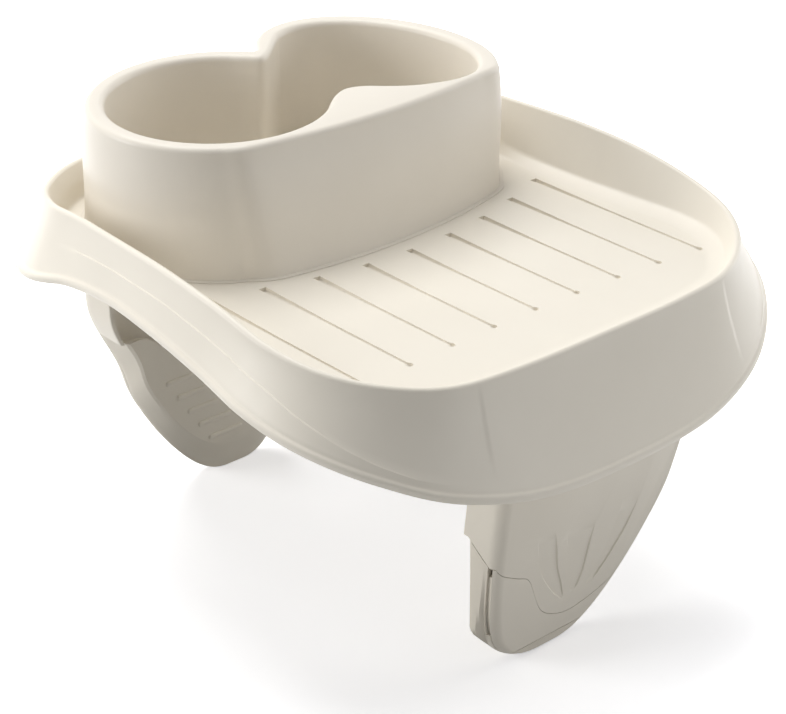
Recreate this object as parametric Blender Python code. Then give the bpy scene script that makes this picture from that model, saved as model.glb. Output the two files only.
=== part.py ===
"""A twin-cup tray that straddles the wall of an inflatable hot tub.

A flared deck with drain grooves carries a block of two open cup wells. Two equal
fin-shaped legs plug into sockets under the deck, one at the front and one, turned
half round, at the rear. The wall of the tub passes between them.

X runs along the wall of the tub, -Y is the front of the tray and +Y its cup end.
The origin is on the surface that the two legs stand on, under the tray's middle.
"""

import math

import bmesh
import bpy
from mathutils import Vector

MM = 0.001
GAP = 0.3 * MM

# The deck and its rim
DECK_TOP = 164.0 * MM
DECK_WALL = 2.5 * MM
RIM_HALF_WIDTH = 127.5 * MM
RIM_FRONT = -129.5 * MM
RIM_REAR = 143.0 * MM
RIM_RADIUS = 1.9 * MM
RIM_SOLID_HEIGHT = 7.0 * MM
BEAD_HEIGHT = 4.5 * MM
BEAD_LIP = 1.6 * MM
BEAD_STEP = 1.4 * MM
FLARE_POWER = 1.25

# Stations of the rim from the middle of the front to the middle of the rear:
# share of the half width, share of the length from front to rear, then in
# millimetres the rise of the rim above the deck, the flare of the skirt, its drop
# below the deck, the rise of the ledge round the floor, the run of the inner wall
# and the width of the sloped border.
STATIONS = (
    (0.000, 0.000, 5.5, 22.5, 48.0, 1.0, 1.5, 6.0),
    (0.376, 0.003, 5.5, 21.0, 46.5, 1.0, 1.5, 6.0),
    (0.643, 0.020, 6.0, 17.5, 39.5, 1.5, 2.0, 6.5),
    (0.831, 0.070, 9.0, 16.5, 28.5, 2.0, 3.5, 7.5),
    (0.949, 0.141, 12.5, 16.0, 19.0, 2.5, 5.0, 8.5),
    (1.000, 0.233, 16.5, 13.5, 13.0, 2.5, 7.0, 9.0),
    (1.000, 0.354, 22.0, 10.0, 8.5, 2.5, 9.5, 9.0),
    (0.986, 0.486, 24.5, 9.0, 4.5, 2.5, 10.0, 9.0),
    (0.968, 0.615, 24.5, 8.5, 3.5, 4.0, 8.5, 5.0),
    (0.949, 0.725, 23.8, 11.0, 6.5, 9.0, 6.5, 1.5),
    (0.928, 0.820, 21.6, 15.0, 13.0, 10.5, 4.5, 1.0),
    (0.826, 0.905, 18.4, 15.5, 17.5, 9.0, 3.0, 1.0),
    (0.615, 0.974, 16.4, 12.0, 19.5, 8.5, 2.5, 0.8),
    (0.315, 0.998, 16.0, 9.0, 21.5, 8.5, 2.5, 0.8),
    (0.000, 1.000, 16.0, 9.0, 22.5, 8.5, 2.5, 0.8),
)
STEPS_PER_STATION = 4

# Drain grooves in the deck
GROOVE_COUNT = 9
GROOVE_PITCH = 25.0 * MM
GROOVE_REAR = -10.5 * MM
GROOVE_REAR_BOW = 480.0 * MM
GROOVE_FRONT = -90.8 * MM
GROOVE_FRONT_BOW = 2000.0 * MM
GROOVE_WIDE = 2.6 * MM
GROOVE_NARROW = 1.2 * MM
GROOVE_DEEP = 1.5 * MM
GROOVE_SHALLOW = 0.7 * MM
GROOVE_PIT_RADIUS = 1.3 * MM

# The cup block. Each well is an ellipse: its middle, its long and short radius in
# millimetres, and the turn of its long axis in degrees.
LEFT_WELL = (-40.3, 73.4, 53.9, 49.8, 27.7)
RIGHT_WELL = (55.1, 73.9, 51.5, 37.5, -74.7)
LEFT_WELL_SWEEP = (38.0, 316.0, 24)
RIGHT_WELL_SWEEP = (-97.0, 127.0, 19)
WELL_NOTCH = (10.5, 101.5)
WELL_TAB = (
    (3.5, 44.2),
    (11.5, 46.8),
    (20.5, 43.8),
    (29.8, 36.0),
    (39.7, 29.4),
)
WELL_STEPS = 2
BLOCK_MIDDLE_X = 12.0 * MM
BLOCK_MIDDLE_Y = 73.0 * MM
CUP_HEIGHT = 57.8 * MM
LEFT_RIM_WIDTH = 9.2 * MM
RIGHT_RIM_WIDTH = 10.0 * MM
CUP_RIM_RADIUS = 3.2 * MM
CUP_WALL = 2.5 * MM
CUP_INNER_DRAFT = 1.2 * MM
LEFT_DRAFT = 4.5 * MM
RIGHT_DRAFT = 4.3 * MM
CORNER_DRAFT = 6.5 * MM
CORNER_ANGLE = math.radians(212.0)
CORNER_SPREAD = math.radians(38.0)
NOTCH_ROUNDING = 4.0 * MM
CUP_SEAT_DEPTH = 1.0 * MM
FRONT_TOP = 12.0 * MM
FRONT_TOP_BOW = 780.0 * MM
FRONT_BASE = -2.8 * MM
FRONT_BASE_BOW = 600.0 * MM
FRONT_BASE_SHIFT = -8.0 * MM
FRONT_ARC_LEFT = -60.0 * MM
FRONT_ARC_RIGHT = 72.0 * MM
FRONT_ARC_FADE = 24.0 * MM
FRONT_ARC_REACH = 300.0 * MM

# The legs, drawn for the front one: x along the wall, z up, depth inwards from
# the outer face
LEG_MID_Y = 5.0 * MM
LEG_HALF_FOOT_SPAN = 110.0 * MM
LEG_LEAN = 0.09
UPPER_DEPTH = 21.8 * MM
GRIP_DEPTH = 12.8 * MM
GRIP_DEPTH_HEIGHT = 25.0 * MM
GRIP_DEPTH_SLOPE = 0.135
GRIP_DEPTH_MOST = 21.2 * MM
LEG_WALL = 2.4 * MM
LEG_LEFT = -38.5 * MM
LEG_RIGHT = 82.0 * MM
LEG_MIDDLE_X = 22.0 * MM
LEG_OUTLINE = (
    (-38.5, 76.0),
    (-38.0, 60.0),
    (-37.2, 48.0),
    (-35.5, 34.0),
    (-32.5, 24.0),
    (-28.0, 14.5),
    (-21.5, 7.0),
    (-13.5, 1.8),
    (-6.0, 0.0),
    (8.0, 0.0),
    (17.0, 1.6),
    (25.5, 5.5),
    (34.0, 11.5),
    (42.5, 19.5),
    (52.5, 31.0),
    (61.5, 43.5),
    (68.5, 54.5),
    (73.0, 64.5),
    (77.0, 80.0),
    (80.0, 96.0),
    (82.0, 112.0),
    (82.0, 135.0),
)
FOOT_FLAT = (8, 9)
REAR_NARROW_LEFT = 0.78
REAR_NARROW_RIGHT = 0.87
REAR_NARROW_BELOW = 68.0 * MM
REAR_WIDE_ABOVE = 112.0 * MM
REAR_FOOT_REACH = 7.0 * MM
SHELL_SECTION = (
    (0.0, 2.2, 1.0),
    (0.02, 1.1, 0.5),
    (0.05, 0.4, 0.15),
    (0.12, 0.0, 0.0),
    (0.96, 0.0, 0.0),
    (1.0, 0.8, 0.0),
)
GRIP_SECTION = (
    (0.0, 2.2, 1.0),
    (0.03, 1.0, 0.4),
    (0.08, 0.2, 0.0),
    (0.62, 0.0, 0.0),
    (0.68, 0.0, 4.0),
    (0.80, 0.0, 8.5),
    (0.92, 0.0, 12.0),
    (0.98, 0.5, 14.5),
    (1.00, 1.5, 16.5),
)
GRIP_SQUARE_SHARE = 0.65
GRIP_SQUARE = 0.45
GRIP_SQUARE_FROM = -5.0 * MM
SEAM_OUTLINE = (
    (-60.0, 82.0),
    (-38.5, 72.0),
    (-36.0, 60.0),
    (-33.0, 51.0),
    (-23.0, 45.0),
    (-15.5, 41.0),
    (-13.0, 36.0),
    (-8.0, 27.0),
    (-3.5, 21.0),
    (4.5, 16.5),
    (14.0, 14.5),
    (27.0, 16.5),
    (39.0, 20.5),
    (48.0, 28.0),
    (56.0, 38.5),
    (64.0, 53.0),
    (71.0, 70.0),
    (76.0, 84.0),
    (110.0, 110.0),
)
SHELL_DEPTH = 3.0 * MM
SLOT_END = 4.6 * MM
SLOT_TOP = 51.0 * MM
LIP_DEPTH = 1.6 * MM
LIP_RISE = 7.0 * MM
LIP_DROP = 6.0 * MM
TIP_HEIGHT = 5.5 * MM
CUT_LEFT = -60.0 * MM
CUT_RIGHT = 110.0 * MM
SLOT_FLOOR = (
    (-60.0, 17.0),
    (-24.0, 17.0),
    (-14.0, 14.5),
    (-5.0, 12.0),
    (4.5, 9.5),
    (14.0, 7.5),
    (27.0, 9.5),
    (39.0, 13.5),
    (48.0, 21.0),
    (56.0, 31.5),
    (64.0, 46.0),
    (66.5, 50.4),
    (110.0, 50.4),
)
GRIP_OUTLINE = (
    (-60.0, 56.0),
    (-30.0, 56.5),
    (-15.0, 58.0),
    (0.0, 61.0),
    (15.0, 65.0),
    (28.0, 70.0),
    (38.0, 75.5),
    (46.0, 80.5),
    (53.0, 84.8),
    (58.0, 88.5),
    (61.8, 92.9),
    (67.0, 95.4),
    (73.5, 95.6),
    (81.0, 96.2),
    (110.0, 103.0),
)
RIB_COUNT = 5
RIB_PITCH = 10.35 * MM
RIB_LOWEST = 22.3 * MM
RIB_START = 0.6 * MM
RIB_SHIFT = 8.0 * MM
RIB_LENGTH = 21.6 * MM
RIB_SHORTER = 0.95 * MM
RIB_PROUD = 0.9 * MM
RIB_HEIGHT = 3.2 * MM
SOCKET_DEPTH = 14.0 * MM
SOCKET_WALL = 2.5 * MM


def clear_scene():
    for obj in list(bpy.data.objects):
        bpy.data.objects.remove(obj)


def new_collection(name, hidden=False):
    collection = bpy.data.collections.new(name)
    bpy.context.scene.collection.children.link(collection)
    collection.hide_render = hidden
    return collection


def new_material(name, colour, roughness):
    material = bpy.data.materials.new(name)
    material.use_nodes = True
    shader = material.node_tree.nodes["Principled BSDF"]
    shader.inputs["Base Color"].default_value = (*colour, 1.0)
    shader.inputs["Roughness"].default_value = roughness
    shader.inputs["Metallic"].default_value = 0.0
    return material


def mesh_object(name, mesh, collection, material=None):
    obj = bpy.data.objects.new(name, mesh)
    collection.objects.link(obj)
    if material is not None:
        mesh.materials.append(material)
    return obj


def loft(name, rings, collection, capped=True):
    """A closed solid through rings of equally many points. With no caps, the last ring joins the first."""
    work = bmesh.new()
    loops = [[work.verts.new(point) for point in ring] for ring in rings]
    pairs = list(zip(loops, loops[1:]))
    if not capped:
        pairs.append((loops[-1], loops[0]))
    for low, high in pairs:
        for i in range(len(low)):
            j = (i + 1) % len(low)
            work.faces.new((low[i], low[j], high[j], high[i]))
    if capped:
        work.faces.new(loops[0])
        work.faces.new(loops[-1])
    bmesh.ops.recalc_face_normals(work, faces=work.faces)
    mesh = bpy.data.meshes.new(name)
    work.to_mesh(mesh)
    work.free()
    return mesh_object(name, mesh, collection)


def boolean(target, other, operation):
    modifier = target.modifiers.new(operation.lower() + "_" + other.name, "BOOLEAN")
    modifier.operation = operation
    modifier.solver = "EXACT"
    modifier.object = other


def applied(obj):
    """The object with its modifiers made part of its mesh."""
    graph = bpy.context.evaluated_depsgraph_get()
    mesh = bpy.data.meshes.new_from_object(obj.evaluated_get(graph))
    obj.modifiers.clear()
    obj.data = mesh
    return obj


def catmull_rom(values, share):
    """A smooth curve through four values in a row, between the second and the third."""
    before, start, end, after = values
    return 0.5 * (
        2.0 * start
        + (end - before) * share
        + (2.0 * before - 5.0 * start + 4.0 * end - after) * share**2
        + (3.0 * start - before - 3.0 * end + after) * share**3
    )


def smooth_closed(rows, steps):
    """Rows of numbers joined by one smooth closed curve, with so many steps from each row to the next."""
    count = len(rows)
    samples = []
    for i in range(count):
        four = [rows[(i + k) % count] for k in (-1, 0, 1, 2)]
        for step in range(steps):
            share = step / steps
            samples.append([catmull_rom(values, share) for values in zip(*four)])
    return samples


def tray_samples():
    """The stations round the whole tray, as (x, y, rise, flare, drop, ledge, run, border) in metres."""
    half = []
    for across, along, *sizes in STATIONS:
        x = across * RIM_HALF_WIDTH
        y = RIM_FRONT + along * (RIM_REAR - RIM_FRONT)
        half.append([x, y] + [size * MM for size in sizes])
    mirrored = [[-row[0]] + row[1:] for row in reversed(half[1:-1])]
    return smooth_closed(half + mirrored, STEPS_PER_STATION)


def outward_normals(samples):
    normals = []
    for i in range(len(samples)):
        before = samples[i - 1]
        after = samples[(i + 1) % len(samples)]
        along = Vector((after[0] - before[0], after[1] - before[1])).normalized()
        normals.append(Vector((along.y, -along.x)))
    return normals


def tray_ring(samples, normals, place):
    """A ring round the tray. place gives each sample's distance outwards from the rim line, and its height."""
    ring = []
    for sample, normal in zip(samples, normals):
        out, z = place(*sample[2:])
        ring.append((sample[0] + normal.x * out, sample[1] + normal.y * out, z))
    return ring


def skirt_place(share, wall):
    """A point of the skirt, a share of its way down, moved inwards by a wall."""

    def place(rise, flare, drop, ledge, run, border):
        top = DECK_TOP + rise - RIM_RADIUS
        low = DECK_TOP - drop + BEAD_HEIGHT + BEAD_STEP
        reach = flare - BEAD_LIP - RIM_RADIUS
        return RIM_RADIUS + reach * share**FLARE_POWER - wall, top + (low - top) * share

    return place


def rim_place(turn):
    def place(rise, flare, drop, ledge, run, border):
        height = DECK_TOP + rise - RIM_RADIUS
        return RIM_RADIUS * math.sin(turn), height + RIM_RADIUS * math.cos(turn)

    return place


def bead_place(inset, height):
    """A point of the bead, from the tray's furthest reach and from the foot of the skirt."""

    def place(rise, flare, drop, ledge, run, border):
        return flare - inset, DECK_TOP - drop + height

    return place


def wall_slopes(rise, ledge, run, border):
    """The slopes of the sloped border and of the inner wall above it."""
    return math.atan2(ledge, border), math.atan2(rise - RIM_RADIUS - ledge, run)


def corner_shift(lower, upper, wall):
    """How far a corner between two slopes moves, out and down, on the far side of a wall."""
    out = math.sin(lower) + math.sin(upper)
    down = math.cos(lower) + math.cos(upper)
    scale = wall / (1.0 + math.cos(upper - lower))
    return out * scale, down * scale


def floor_place(wall):
    def place(rise, flare, drop, ledge, run, border):
        lower, _ = wall_slopes(rise, ledge, run, border)
        out, down = corner_shift(0.0, lower, wall)
        return out - (RIM_RADIUS + run + border), DECK_TOP - down

    return place


def hollow_top(rise, flare, drop):
    """The outer and the inner corner at the top of the hollow inside the rim."""
    z = DECK_TOP + rise - RIM_SOLID_HEIGHT
    top = DECK_TOP + rise - RIM_RADIUS
    low = DECK_TOP - drop + BEAD_HEIGHT + BEAD_STEP
    share = (top - z) / (top - low)
    outer = RIM_RADIUS + (flare - BEAD_LIP - RIM_RADIUS) * share**FLARE_POWER - DECK_WALL
    return (outer, z), (min(-RIM_RADIUS, outer - 0.8 * MM), z)


def hollow_top_place(side):
    def place(rise, flare, drop, ledge, run, border):
        return hollow_top(rise, flare, drop)[side]

    return place


def ledge_place(wall):
    def place(rise, flare, drop, ledge, run, border):
        out, down = corner_shift(*wall_slopes(rise, ledge, run, border), wall)
        x, z = out - (RIM_RADIUS + run), DECK_TOP + ledge - down
        if wall > 0.0:
            inner, top = hollow_top(rise, flare, drop)[1]
            x, z = min(x, inner - 0.3 * MM), min(z, top - 0.1 * MM)
        return x, z

    return place


def make_tray_deck(parts, cutters, material):
    samples = tray_samples()
    normals = outward_normals(samples)
    quarter = math.pi / 2
    places = [
        floor_place(0.0),
        ledge_place(0.0),
        rim_place(-quarter),
        rim_place(-quarter / 2),
        rim_place(0.0),
        rim_place(quarter / 2),
        rim_place(quarter),
        skirt_place(0.33, 0.0),
        skirt_place(0.66, 0.0),
        skirt_place(1.0, 0.0),
        bead_place(0.3 * BEAD_LIP, BEAD_HEIGHT),
        bead_place(0.0, 0.6 * BEAD_HEIGHT),
        bead_place(0.3 * BEAD_LIP, 0.2 * BEAD_HEIGHT),
        bead_place(BEAD_LIP, 0.0),
        bead_place(BEAD_LIP + DECK_WALL, 0.0),
        skirt_place(1.0, DECK_WALL),
        skirt_place(0.8, DECK_WALL),
        hollow_top_place(0),
        hollow_top_place(1),
        ledge_place(DECK_WALL),
        floor_place(DECK_WALL),
    ]
    rings = [tray_ring(samples, normals, place) for place in places]
    deck = loft("tray_deck", rings, parts)
    for index in range(GROOVE_COUNT):
        boolean(deck, make_groove_cutter(index, cutters), "DIFFERENCE")
    boolean(deck, make_seat_cutter(cutters), "DIFFERENCE")
    for turned in (False, True):
        boolean(deck, make_socket(turned, cutters), "UNION")
    applied(deck)
    deck.data.materials.clear()
    deck.data.materials.append(material)
    return deck


def front_arc_y(x, level):
    """The front of the cup block: level 0 at its base, 1 at its top."""
    middle = FRONT_BASE + (FRONT_TOP - FRONT_BASE) * level
    base_curve = 1.0 / FRONT_BASE_BOW
    top_curve = 1.0 / FRONT_TOP_BOW
    across = x - FRONT_BASE_SHIFT * (1.0 - level)
    return middle + across * across * (base_curve + (top_curve - base_curve) * level)


def make_groove_cutter(index, cutters):
    """A tapered bar, deep and wide beside the cups, that leaves a groove in the deck, with a round pit at its front."""
    x = (index - (GROOVE_COUNT - 1) / 2) * GROOVE_PITCH
    rear = GROOVE_REAR + x * x / GROOVE_REAR_BOW
    front = GROOVE_FRONT - x * x / GROOVE_FRONT_BOW
    above = 2.0 * MM
    rings = []
    for y, width, depth in ((front, GROOVE_NARROW, GROOVE_SHALLOW), (rear, GROOVE_WIDE, GROOVE_DEEP)):
        half = width / 2
        rings.append(
            (
                (x - half, y, DECK_TOP + above),
                (x - half, y, DECK_TOP - 0.4 * depth),
                (x - 0.35 * half, y, DECK_TOP - depth),
                (x + 0.35 * half, y, DECK_TOP - depth),
                (x + half, y, DECK_TOP - 0.4 * depth),
                (x + half, y, DECK_TOP + above),
            )
        )
    bar = loft("groove_cutter_" + str(index), rings, cutters)
    pit = bmesh.new()
    bmesh.ops.create_cone(
        pit, cap_ends=True, segments=10, radius1=GROOVE_PIT_RADIUS, radius2=GROOVE_PIT_RADIUS,
        depth=2 * above,
    )
    bmesh.ops.translate(pit, verts=pit.verts, vec=(x, front, DECK_TOP + above - GROOVE_DEEP))
    pit_mesh = bpy.data.meshes.new("pit_cutter_" + str(index))
    pit.to_mesh(pit_mesh)
    pit.free()
    boolean(bar, mesh_object(pit_mesh.name, pit_mesh, cutters), "UNION")
    return bar


def smooth_step(low, high, value):
    share = min(1.0, max(0.0, (value - low) / (high - low)))
    return share * share * (3.0 - 2.0 * share)


def well_point(well, degrees):
    """A point of a well's ellipse, in millimetres, in a direction that starts from +X."""
    middle_x, middle_y, long_radius, short_radius, turn_degrees = well
    turn = math.radians(turn_degrees)
    along = long_radius * math.cos(math.radians(degrees) - turn)
    across = short_radius * math.sin(math.radians(degrees) - turn)
    x = middle_x + along * math.cos(turn) - across * math.sin(turn)
    return x, middle_y + along * math.sin(turn) + across * math.cos(turn)


def well_sweep(well, sweep):
    """Points along a well, from one direction to another, in equal parts."""
    first, last, parts = sweep
    return [well_point(well, first + (last - first) * k / parts) for k in range(parts + 1)]


def well_outline():
    """The wells' joined outline: from the rear notch round the left well, the blunt tab and the right well."""
    corners = [WELL_NOTCH]
    corners += well_sweep(LEFT_WELL, LEFT_WELL_SWEEP)
    corners += WELL_TAB
    corners += well_sweep(RIGHT_WELL, RIGHT_WELL_SWEEP)
    return smooth_closed([[x * MM, y * MM] for x, y in corners], WELL_STEPS)


def well_ring(offset, z):
    """The wells' outline moved outwards by offset."""
    outline = well_outline()
    normals = outward_normals(outline)
    return [(x + n.x * offset, y + n.y * offset, z) for (x, y), n in zip(outline, normals)]


def ellipse_reach(well, growth, angle):
    """How far a ray from the middle of the block goes before it leaves a well that is grown all round."""
    middle_x, middle_y, long_radius, short_radius, turn_degrees = well
    turn_cos = math.cos(math.radians(turn_degrees))
    turn_sin = math.sin(math.radians(turn_degrees))

    def in_well(x, y):
        along = x * turn_cos + y * turn_sin
        across = -x * turn_sin + y * turn_cos
        return Vector((along / (long_radius * MM + growth), across / (short_radius * MM + growth)))

    ray = in_well(math.cos(angle), math.sin(angle))
    start = in_well(BLOCK_MIDDLE_X - middle_x * MM, BLOCK_MIDDLE_Y - middle_y * MM)
    a = ray.dot(ray)
    b = ray.dot(start)
    c = start.dot(start) - 1.0
    return (-b + math.sqrt(b * b - a * c)) / a


def corner_draft(angle):
    """How much further out the base stands at the block's front left corner."""
    share = max(0.0, 1.0 - abs(angle % (2 * math.pi) - CORNER_ANGLE) / CORNER_SPREAD)
    return CORNER_DRAFT * smooth_step(0.0, 1.0, share)


def outer_reach(angle, offset, level):
    """The block's outer outline at a level, moved outwards by offset."""
    side = (1.0 - smooth_step(0.3, 0.9, math.sin(angle))) * (1.0 - level)
    left_growth = LEFT_RIM_WIDTH + offset + LEFT_DRAFT * side + corner_draft(angle) * (1.0 - level)
    right_growth = RIGHT_RIM_WIDTH + offset + RIGHT_DRAFT * side
    left = ellipse_reach(LEFT_WELL, left_growth, angle)
    right = ellipse_reach(RIGHT_WELL, right_growth, angle)
    reach = 0.5 * (left + right + math.hypot(left - right, NOTCH_ROUNDING))
    if math.sin(angle) >= 0.0:
        return reach
    low, high = 0.0, FRONT_ARC_REACH
    for _ in range(40):
        middle = (low + high) / 2
        x = BLOCK_MIDDLE_X + middle * math.cos(angle)
        y = BLOCK_MIDDLE_Y + middle * math.sin(angle)
        if y > front_arc_y(x, level) - offset:
            low = middle
        else:
            high = middle
    x = BLOCK_MIDDLE_X + low * math.cos(angle)
    fade = smooth_step(0.0, FRONT_ARC_FADE, max(x - FRONT_ARC_RIGHT, FRONT_ARC_LEFT - x))
    return low + (reach - low) * fade


def block_ring(offset, z, level):
    """The block's outer outline, with one point for each point of the wells' outline."""
    ring = []
    for x, y in well_outline():
        angle = math.atan2(y - BLOCK_MIDDLE_Y, x - BLOCK_MIDDLE_X)
        reach = outer_reach(angle, offset, level)
        ring.append((BLOCK_MIDDLE_X + reach * math.cos(angle), BLOCK_MIDDLE_Y + reach * math.sin(angle), z))
    return ring


def make_cup_block(parts, material):
    """One shell, open below: the well wall, the rounded rim, the outer wall and the hollow between them."""
    base = DECK_TOP - CUP_SEAT_DEPTH + GAP
    top = DECK_TOP + CUP_HEIGHT
    radius = CUP_RIM_RADIUS
    hollow_top = top - radius - CUP_WALL
    hollow_level = (hollow_top - DECK_TOP) / CUP_HEIGHT
    rim = [(math.pi / 6 * k) for k in range(4)]
    rings = [well_ring(-CUP_INNER_DRAFT, base)]
    rings += [
        well_ring(radius * (1 - math.cos(turn)), top - radius + radius * math.sin(turn)) for turn in rim
    ]
    rings += [
        block_ring(-radius * (1 - math.sin(turn)), top - radius + radius * math.cos(turn), 1.0)
        for turn in rim
    ]
    rings.append(block_ring(0.0, DECK_TOP + 0.5 * CUP_HEIGHT, 0.5))
    rings.append(block_ring(0.0, base, 0.0))
    rings.append(block_ring(-CUP_WALL, base, 0.0))
    rings.append(block_ring(-CUP_WALL, hollow_top, hollow_level))
    rings.append(well_ring(CUP_WALL, hollow_top))
    rings.append(well_ring(CUP_WALL - CUP_INNER_DRAFT, base))
    block = loft("cup_block", rings, parts, capped=False)
    block.data.materials.append(material)
    return block


def make_seat_cutter(cutters):
    """The shallow channel in the deck that the base of the cup block stands in."""
    low = DECK_TOP - CUP_SEAT_DEPTH
    high = DECK_TOP + 3.0 * MM
    outer = 2.0 * GAP
    rings = [
        well_ring(-CUP_INNER_DRAFT - GAP, low),
        well_ring(-CUP_INNER_DRAFT - GAP, high),
        block_ring(outer, high, 0.0),
        block_ring(outer, low, 0.0),
    ]
    return loft("seat_cutter", rings, cutters, capped=False)


def leg_y(depth, z):
    """Where a depth inwards from the leg's outer face lies, for the front leg."""
    return LEG_MID_Y - LEG_HALF_FOOT_SPAN - LEG_LEAN * z + depth


def turn_half(obj):
    """Turns a front leg's piece half round the middle of the legs, to the rear, where it stands more upright."""
    for vertex in obj.data.vertices:
        reach = REAR_FOOT_REACH * (1.0 - vertex.co.z / leg_top())
        vertex.co.x = -vertex.co.x
        vertex.co.y = 2 * LEG_MID_Y - vertex.co.y + reach
    obj.data.update()


def leg_top():
    return DECK_TOP - DECK_WALL - GAP


def leg_corner(x, z, turned):
    """A corner of the leg's outline. The rear leg is a little narrower below."""
    if turned:
        narrow = REAR_NARROW_LEFT if x < 0.0 else REAR_NARROW_RIGHT
        x *= narrow + (1.0 - narrow) * smooth_step(REAR_NARROW_BELOW, REAR_WIDE_ABOVE, z)
    return x, z


def leg_outline(turned):
    """The leg's outline, from its upper left corner round the foot to its upper right corner."""
    corners = [leg_corner(x * MM, z * MM, turned) for x, z in LEG_OUTLINE]
    points = [(LEG_LEFT, leg_top())]
    for index in range(len(corners) - 1):
        points.append(corners[index])
        if index in (0, FOOT_FLAT[0], len(corners) - 2):
            continue
        ends = (index - 1, index, index + 1, min(index + 2, len(corners) - 1))
        if index + 1 == FOOT_FLAT[0]:
            ends = (index - 1, index, index + 1, index + 1)
        if index == FOOT_FLAT[1]:
            ends = (index, index, index + 1, index + 2)
        points.append(tuple(catmull_rom([corners[k][axis] for k in ends], 0.5) for axis in (0, 1)))
    points.append(corners[-1])
    points.append((LEG_RIGHT, leg_top()))
    return points


def upper_depth(z):
    return UPPER_DEPTH


def grip_depth(z):
    """The grip plate's depth, which grows with its height."""
    return min(GRIP_DEPTH_MOST, GRIP_DEPTH + GRIP_DEPTH_SLOPE * (z - GRIP_DEPTH_HEIGHT))


def leg_outline_ring(turned, inset, lift, roof, square=0.0):
    """The leg's outline drawn in by inset, its lower end raised by lift and squared, its top lowered by roof."""
    top = leg_top()
    half = (LEG_RIGHT - LEG_LEFT) / 2
    ring = []
    for x, z in leg_outline(turned):
        if x < GRIP_SQUARE_FROM and square > 0.0:
            furthest = leg_corner(LEG_LEFT, z, turned)[0]
            x = max(furthest, GRIP_SQUARE_FROM + (x - GRIP_SQUARE_FROM) * (1.0 + square))
        new_x = LEG_MIDDLE_X + (x - LEG_MIDDLE_X) * (1.0 - inset / half)
        ring.append((new_x, lift + z * (top - roof - lift) / top))
    return ring


def make_leg_mould(name, turned, section, depth_at, collection):
    rings = []
    for share, inset, lift in section:
        square = GRIP_SQUARE if lift > 0.0 and share > GRIP_SQUARE_SHARE else 0.0
        outline = leg_outline_ring(turned, inset * MM, lift * MM, 0.0, square)
        rings.append([(x, leg_y(share * depth_at(z), z), z) for x, z in outline])
    return loft(name, rings, collection)


def make_grip_hollow(name, turned, collection):
    """The space inside the grip plate, its walls and its tip."""
    rings = []
    for share, inset, lift in GRIP_SECTION[2:]:
        square = GRIP_SQUARE if share > GRIP_SQUARE_SHARE else 0.0
        outline = leg_outline_ring(
            turned, LEG_WALL + inset * MM, LEG_WALL + lift * MM, LEG_WALL, square
        )
        near = (share - 1.0) * LEG_WALL
        rings.append([(x, leg_y(near + share * (grip_depth(z) - LEG_WALL), z), z) for x, z in outline])
    return loft(name, rings, collection)


def prism(name, outline, near, far, collection):
    """An outline in x and z, given a depth range in the leg."""
    rings = [[(x, leg_y(depth, z), z) for x, z in outline] for depth in (near, far)]
    return loft(name, rings, collection)


def box_outline(left, right, low, high):
    return [(left, low), (right, low), (right, high), (left, high)]


def line(outline, shift, turned):
    """A line of points moved up by shift."""
    corners = [leg_corner(x * MM, z * MM, turned) for x, z in outline]
    return [(x, z + shift) for x, z in corners]


def band(lower, upper):
    """The outline between two lines of points."""
    return lower + upper[::-1]


def level(edge, height):
    """A level line as long as an edge."""
    return [(edge[0][0], height), (edge[-1][0], height)]


def make_upper_shell(side, turned, parts, cutters):
    """The outer panel above the seam with the end walls and the top, open inwards and below."""
    high, low, far = DECK_TOP + 20 * MM, -20 * MM, UPPER_DEPTH + 10 * MM
    seam = line(SEAM_OUTLINE, 0.0, turned)
    edge = line(GRIP_OUTLINE, GAP, turned)
    shell = make_leg_mould(side + "_leg_upper_shell", turned, SHELL_SECTION, upper_depth, parts)
    hollow = leg_outline_ring(turned, LEG_WALL, LEG_WALL, LEG_WALL)
    cuts = (
        prism(side + "_upper_hollow", hollow, LEG_WALL, far, cutters),
        prism(
            side + "_below_seam", band(level(seam, low), seam),
            -far, SHELL_DEPTH + GAP, cutters,
        ),
        prism(
            side + "_below_slot", box_outline(CUT_LEFT, CUT_RIGHT, low, SLOT_TOP),
            SHELL_DEPTH - GAP, SLOT_END + GAP, cutters,
        ),
        prism(
            side + "_below_grip", band(level(edge, low), edge),
            SLOT_END, far, cutters,
        ),
    )
    for cut in cuts:
        boolean(shell, cut, "DIFFERENCE")
    applied(shell)
    boolean(shell, make_lip(side, turned, cutters), "UNION")
    return applied(shell)


def make_lip(side, turned, cutters):
    """The lip of the upper shell that stands behind the seam."""
    seam = line(SEAM_OUTLINE, GAP, turned)
    inside = leg_outline_ring(turned, LEG_WALL - GAP, LEG_WALL, LEG_WALL)
    lip = prism(side + "_lip", inside, LEG_WALL - 2 * GAP, SHELL_DEPTH + GAP + LIP_DEPTH, cutters)
    region = prism(
        side + "_lip_region", band(line(SEAM_OUTLINE, -LIP_DROP, turned), line(SEAM_OUTLINE, LIP_RISE, turned)),
        -LEG_WALL, UPPER_DEPTH, cutters,
    )
    step = prism(
        side + "_lip_step", band(level(seam, -20 * MM), seam),
        -LEG_WALL, SHELL_DEPTH + GAP, cutters,
    )
    boolean(lip, region, "INTERSECT")
    boolean(lip, step, "DIFFERENCE")
    return applied(lip)


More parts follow.
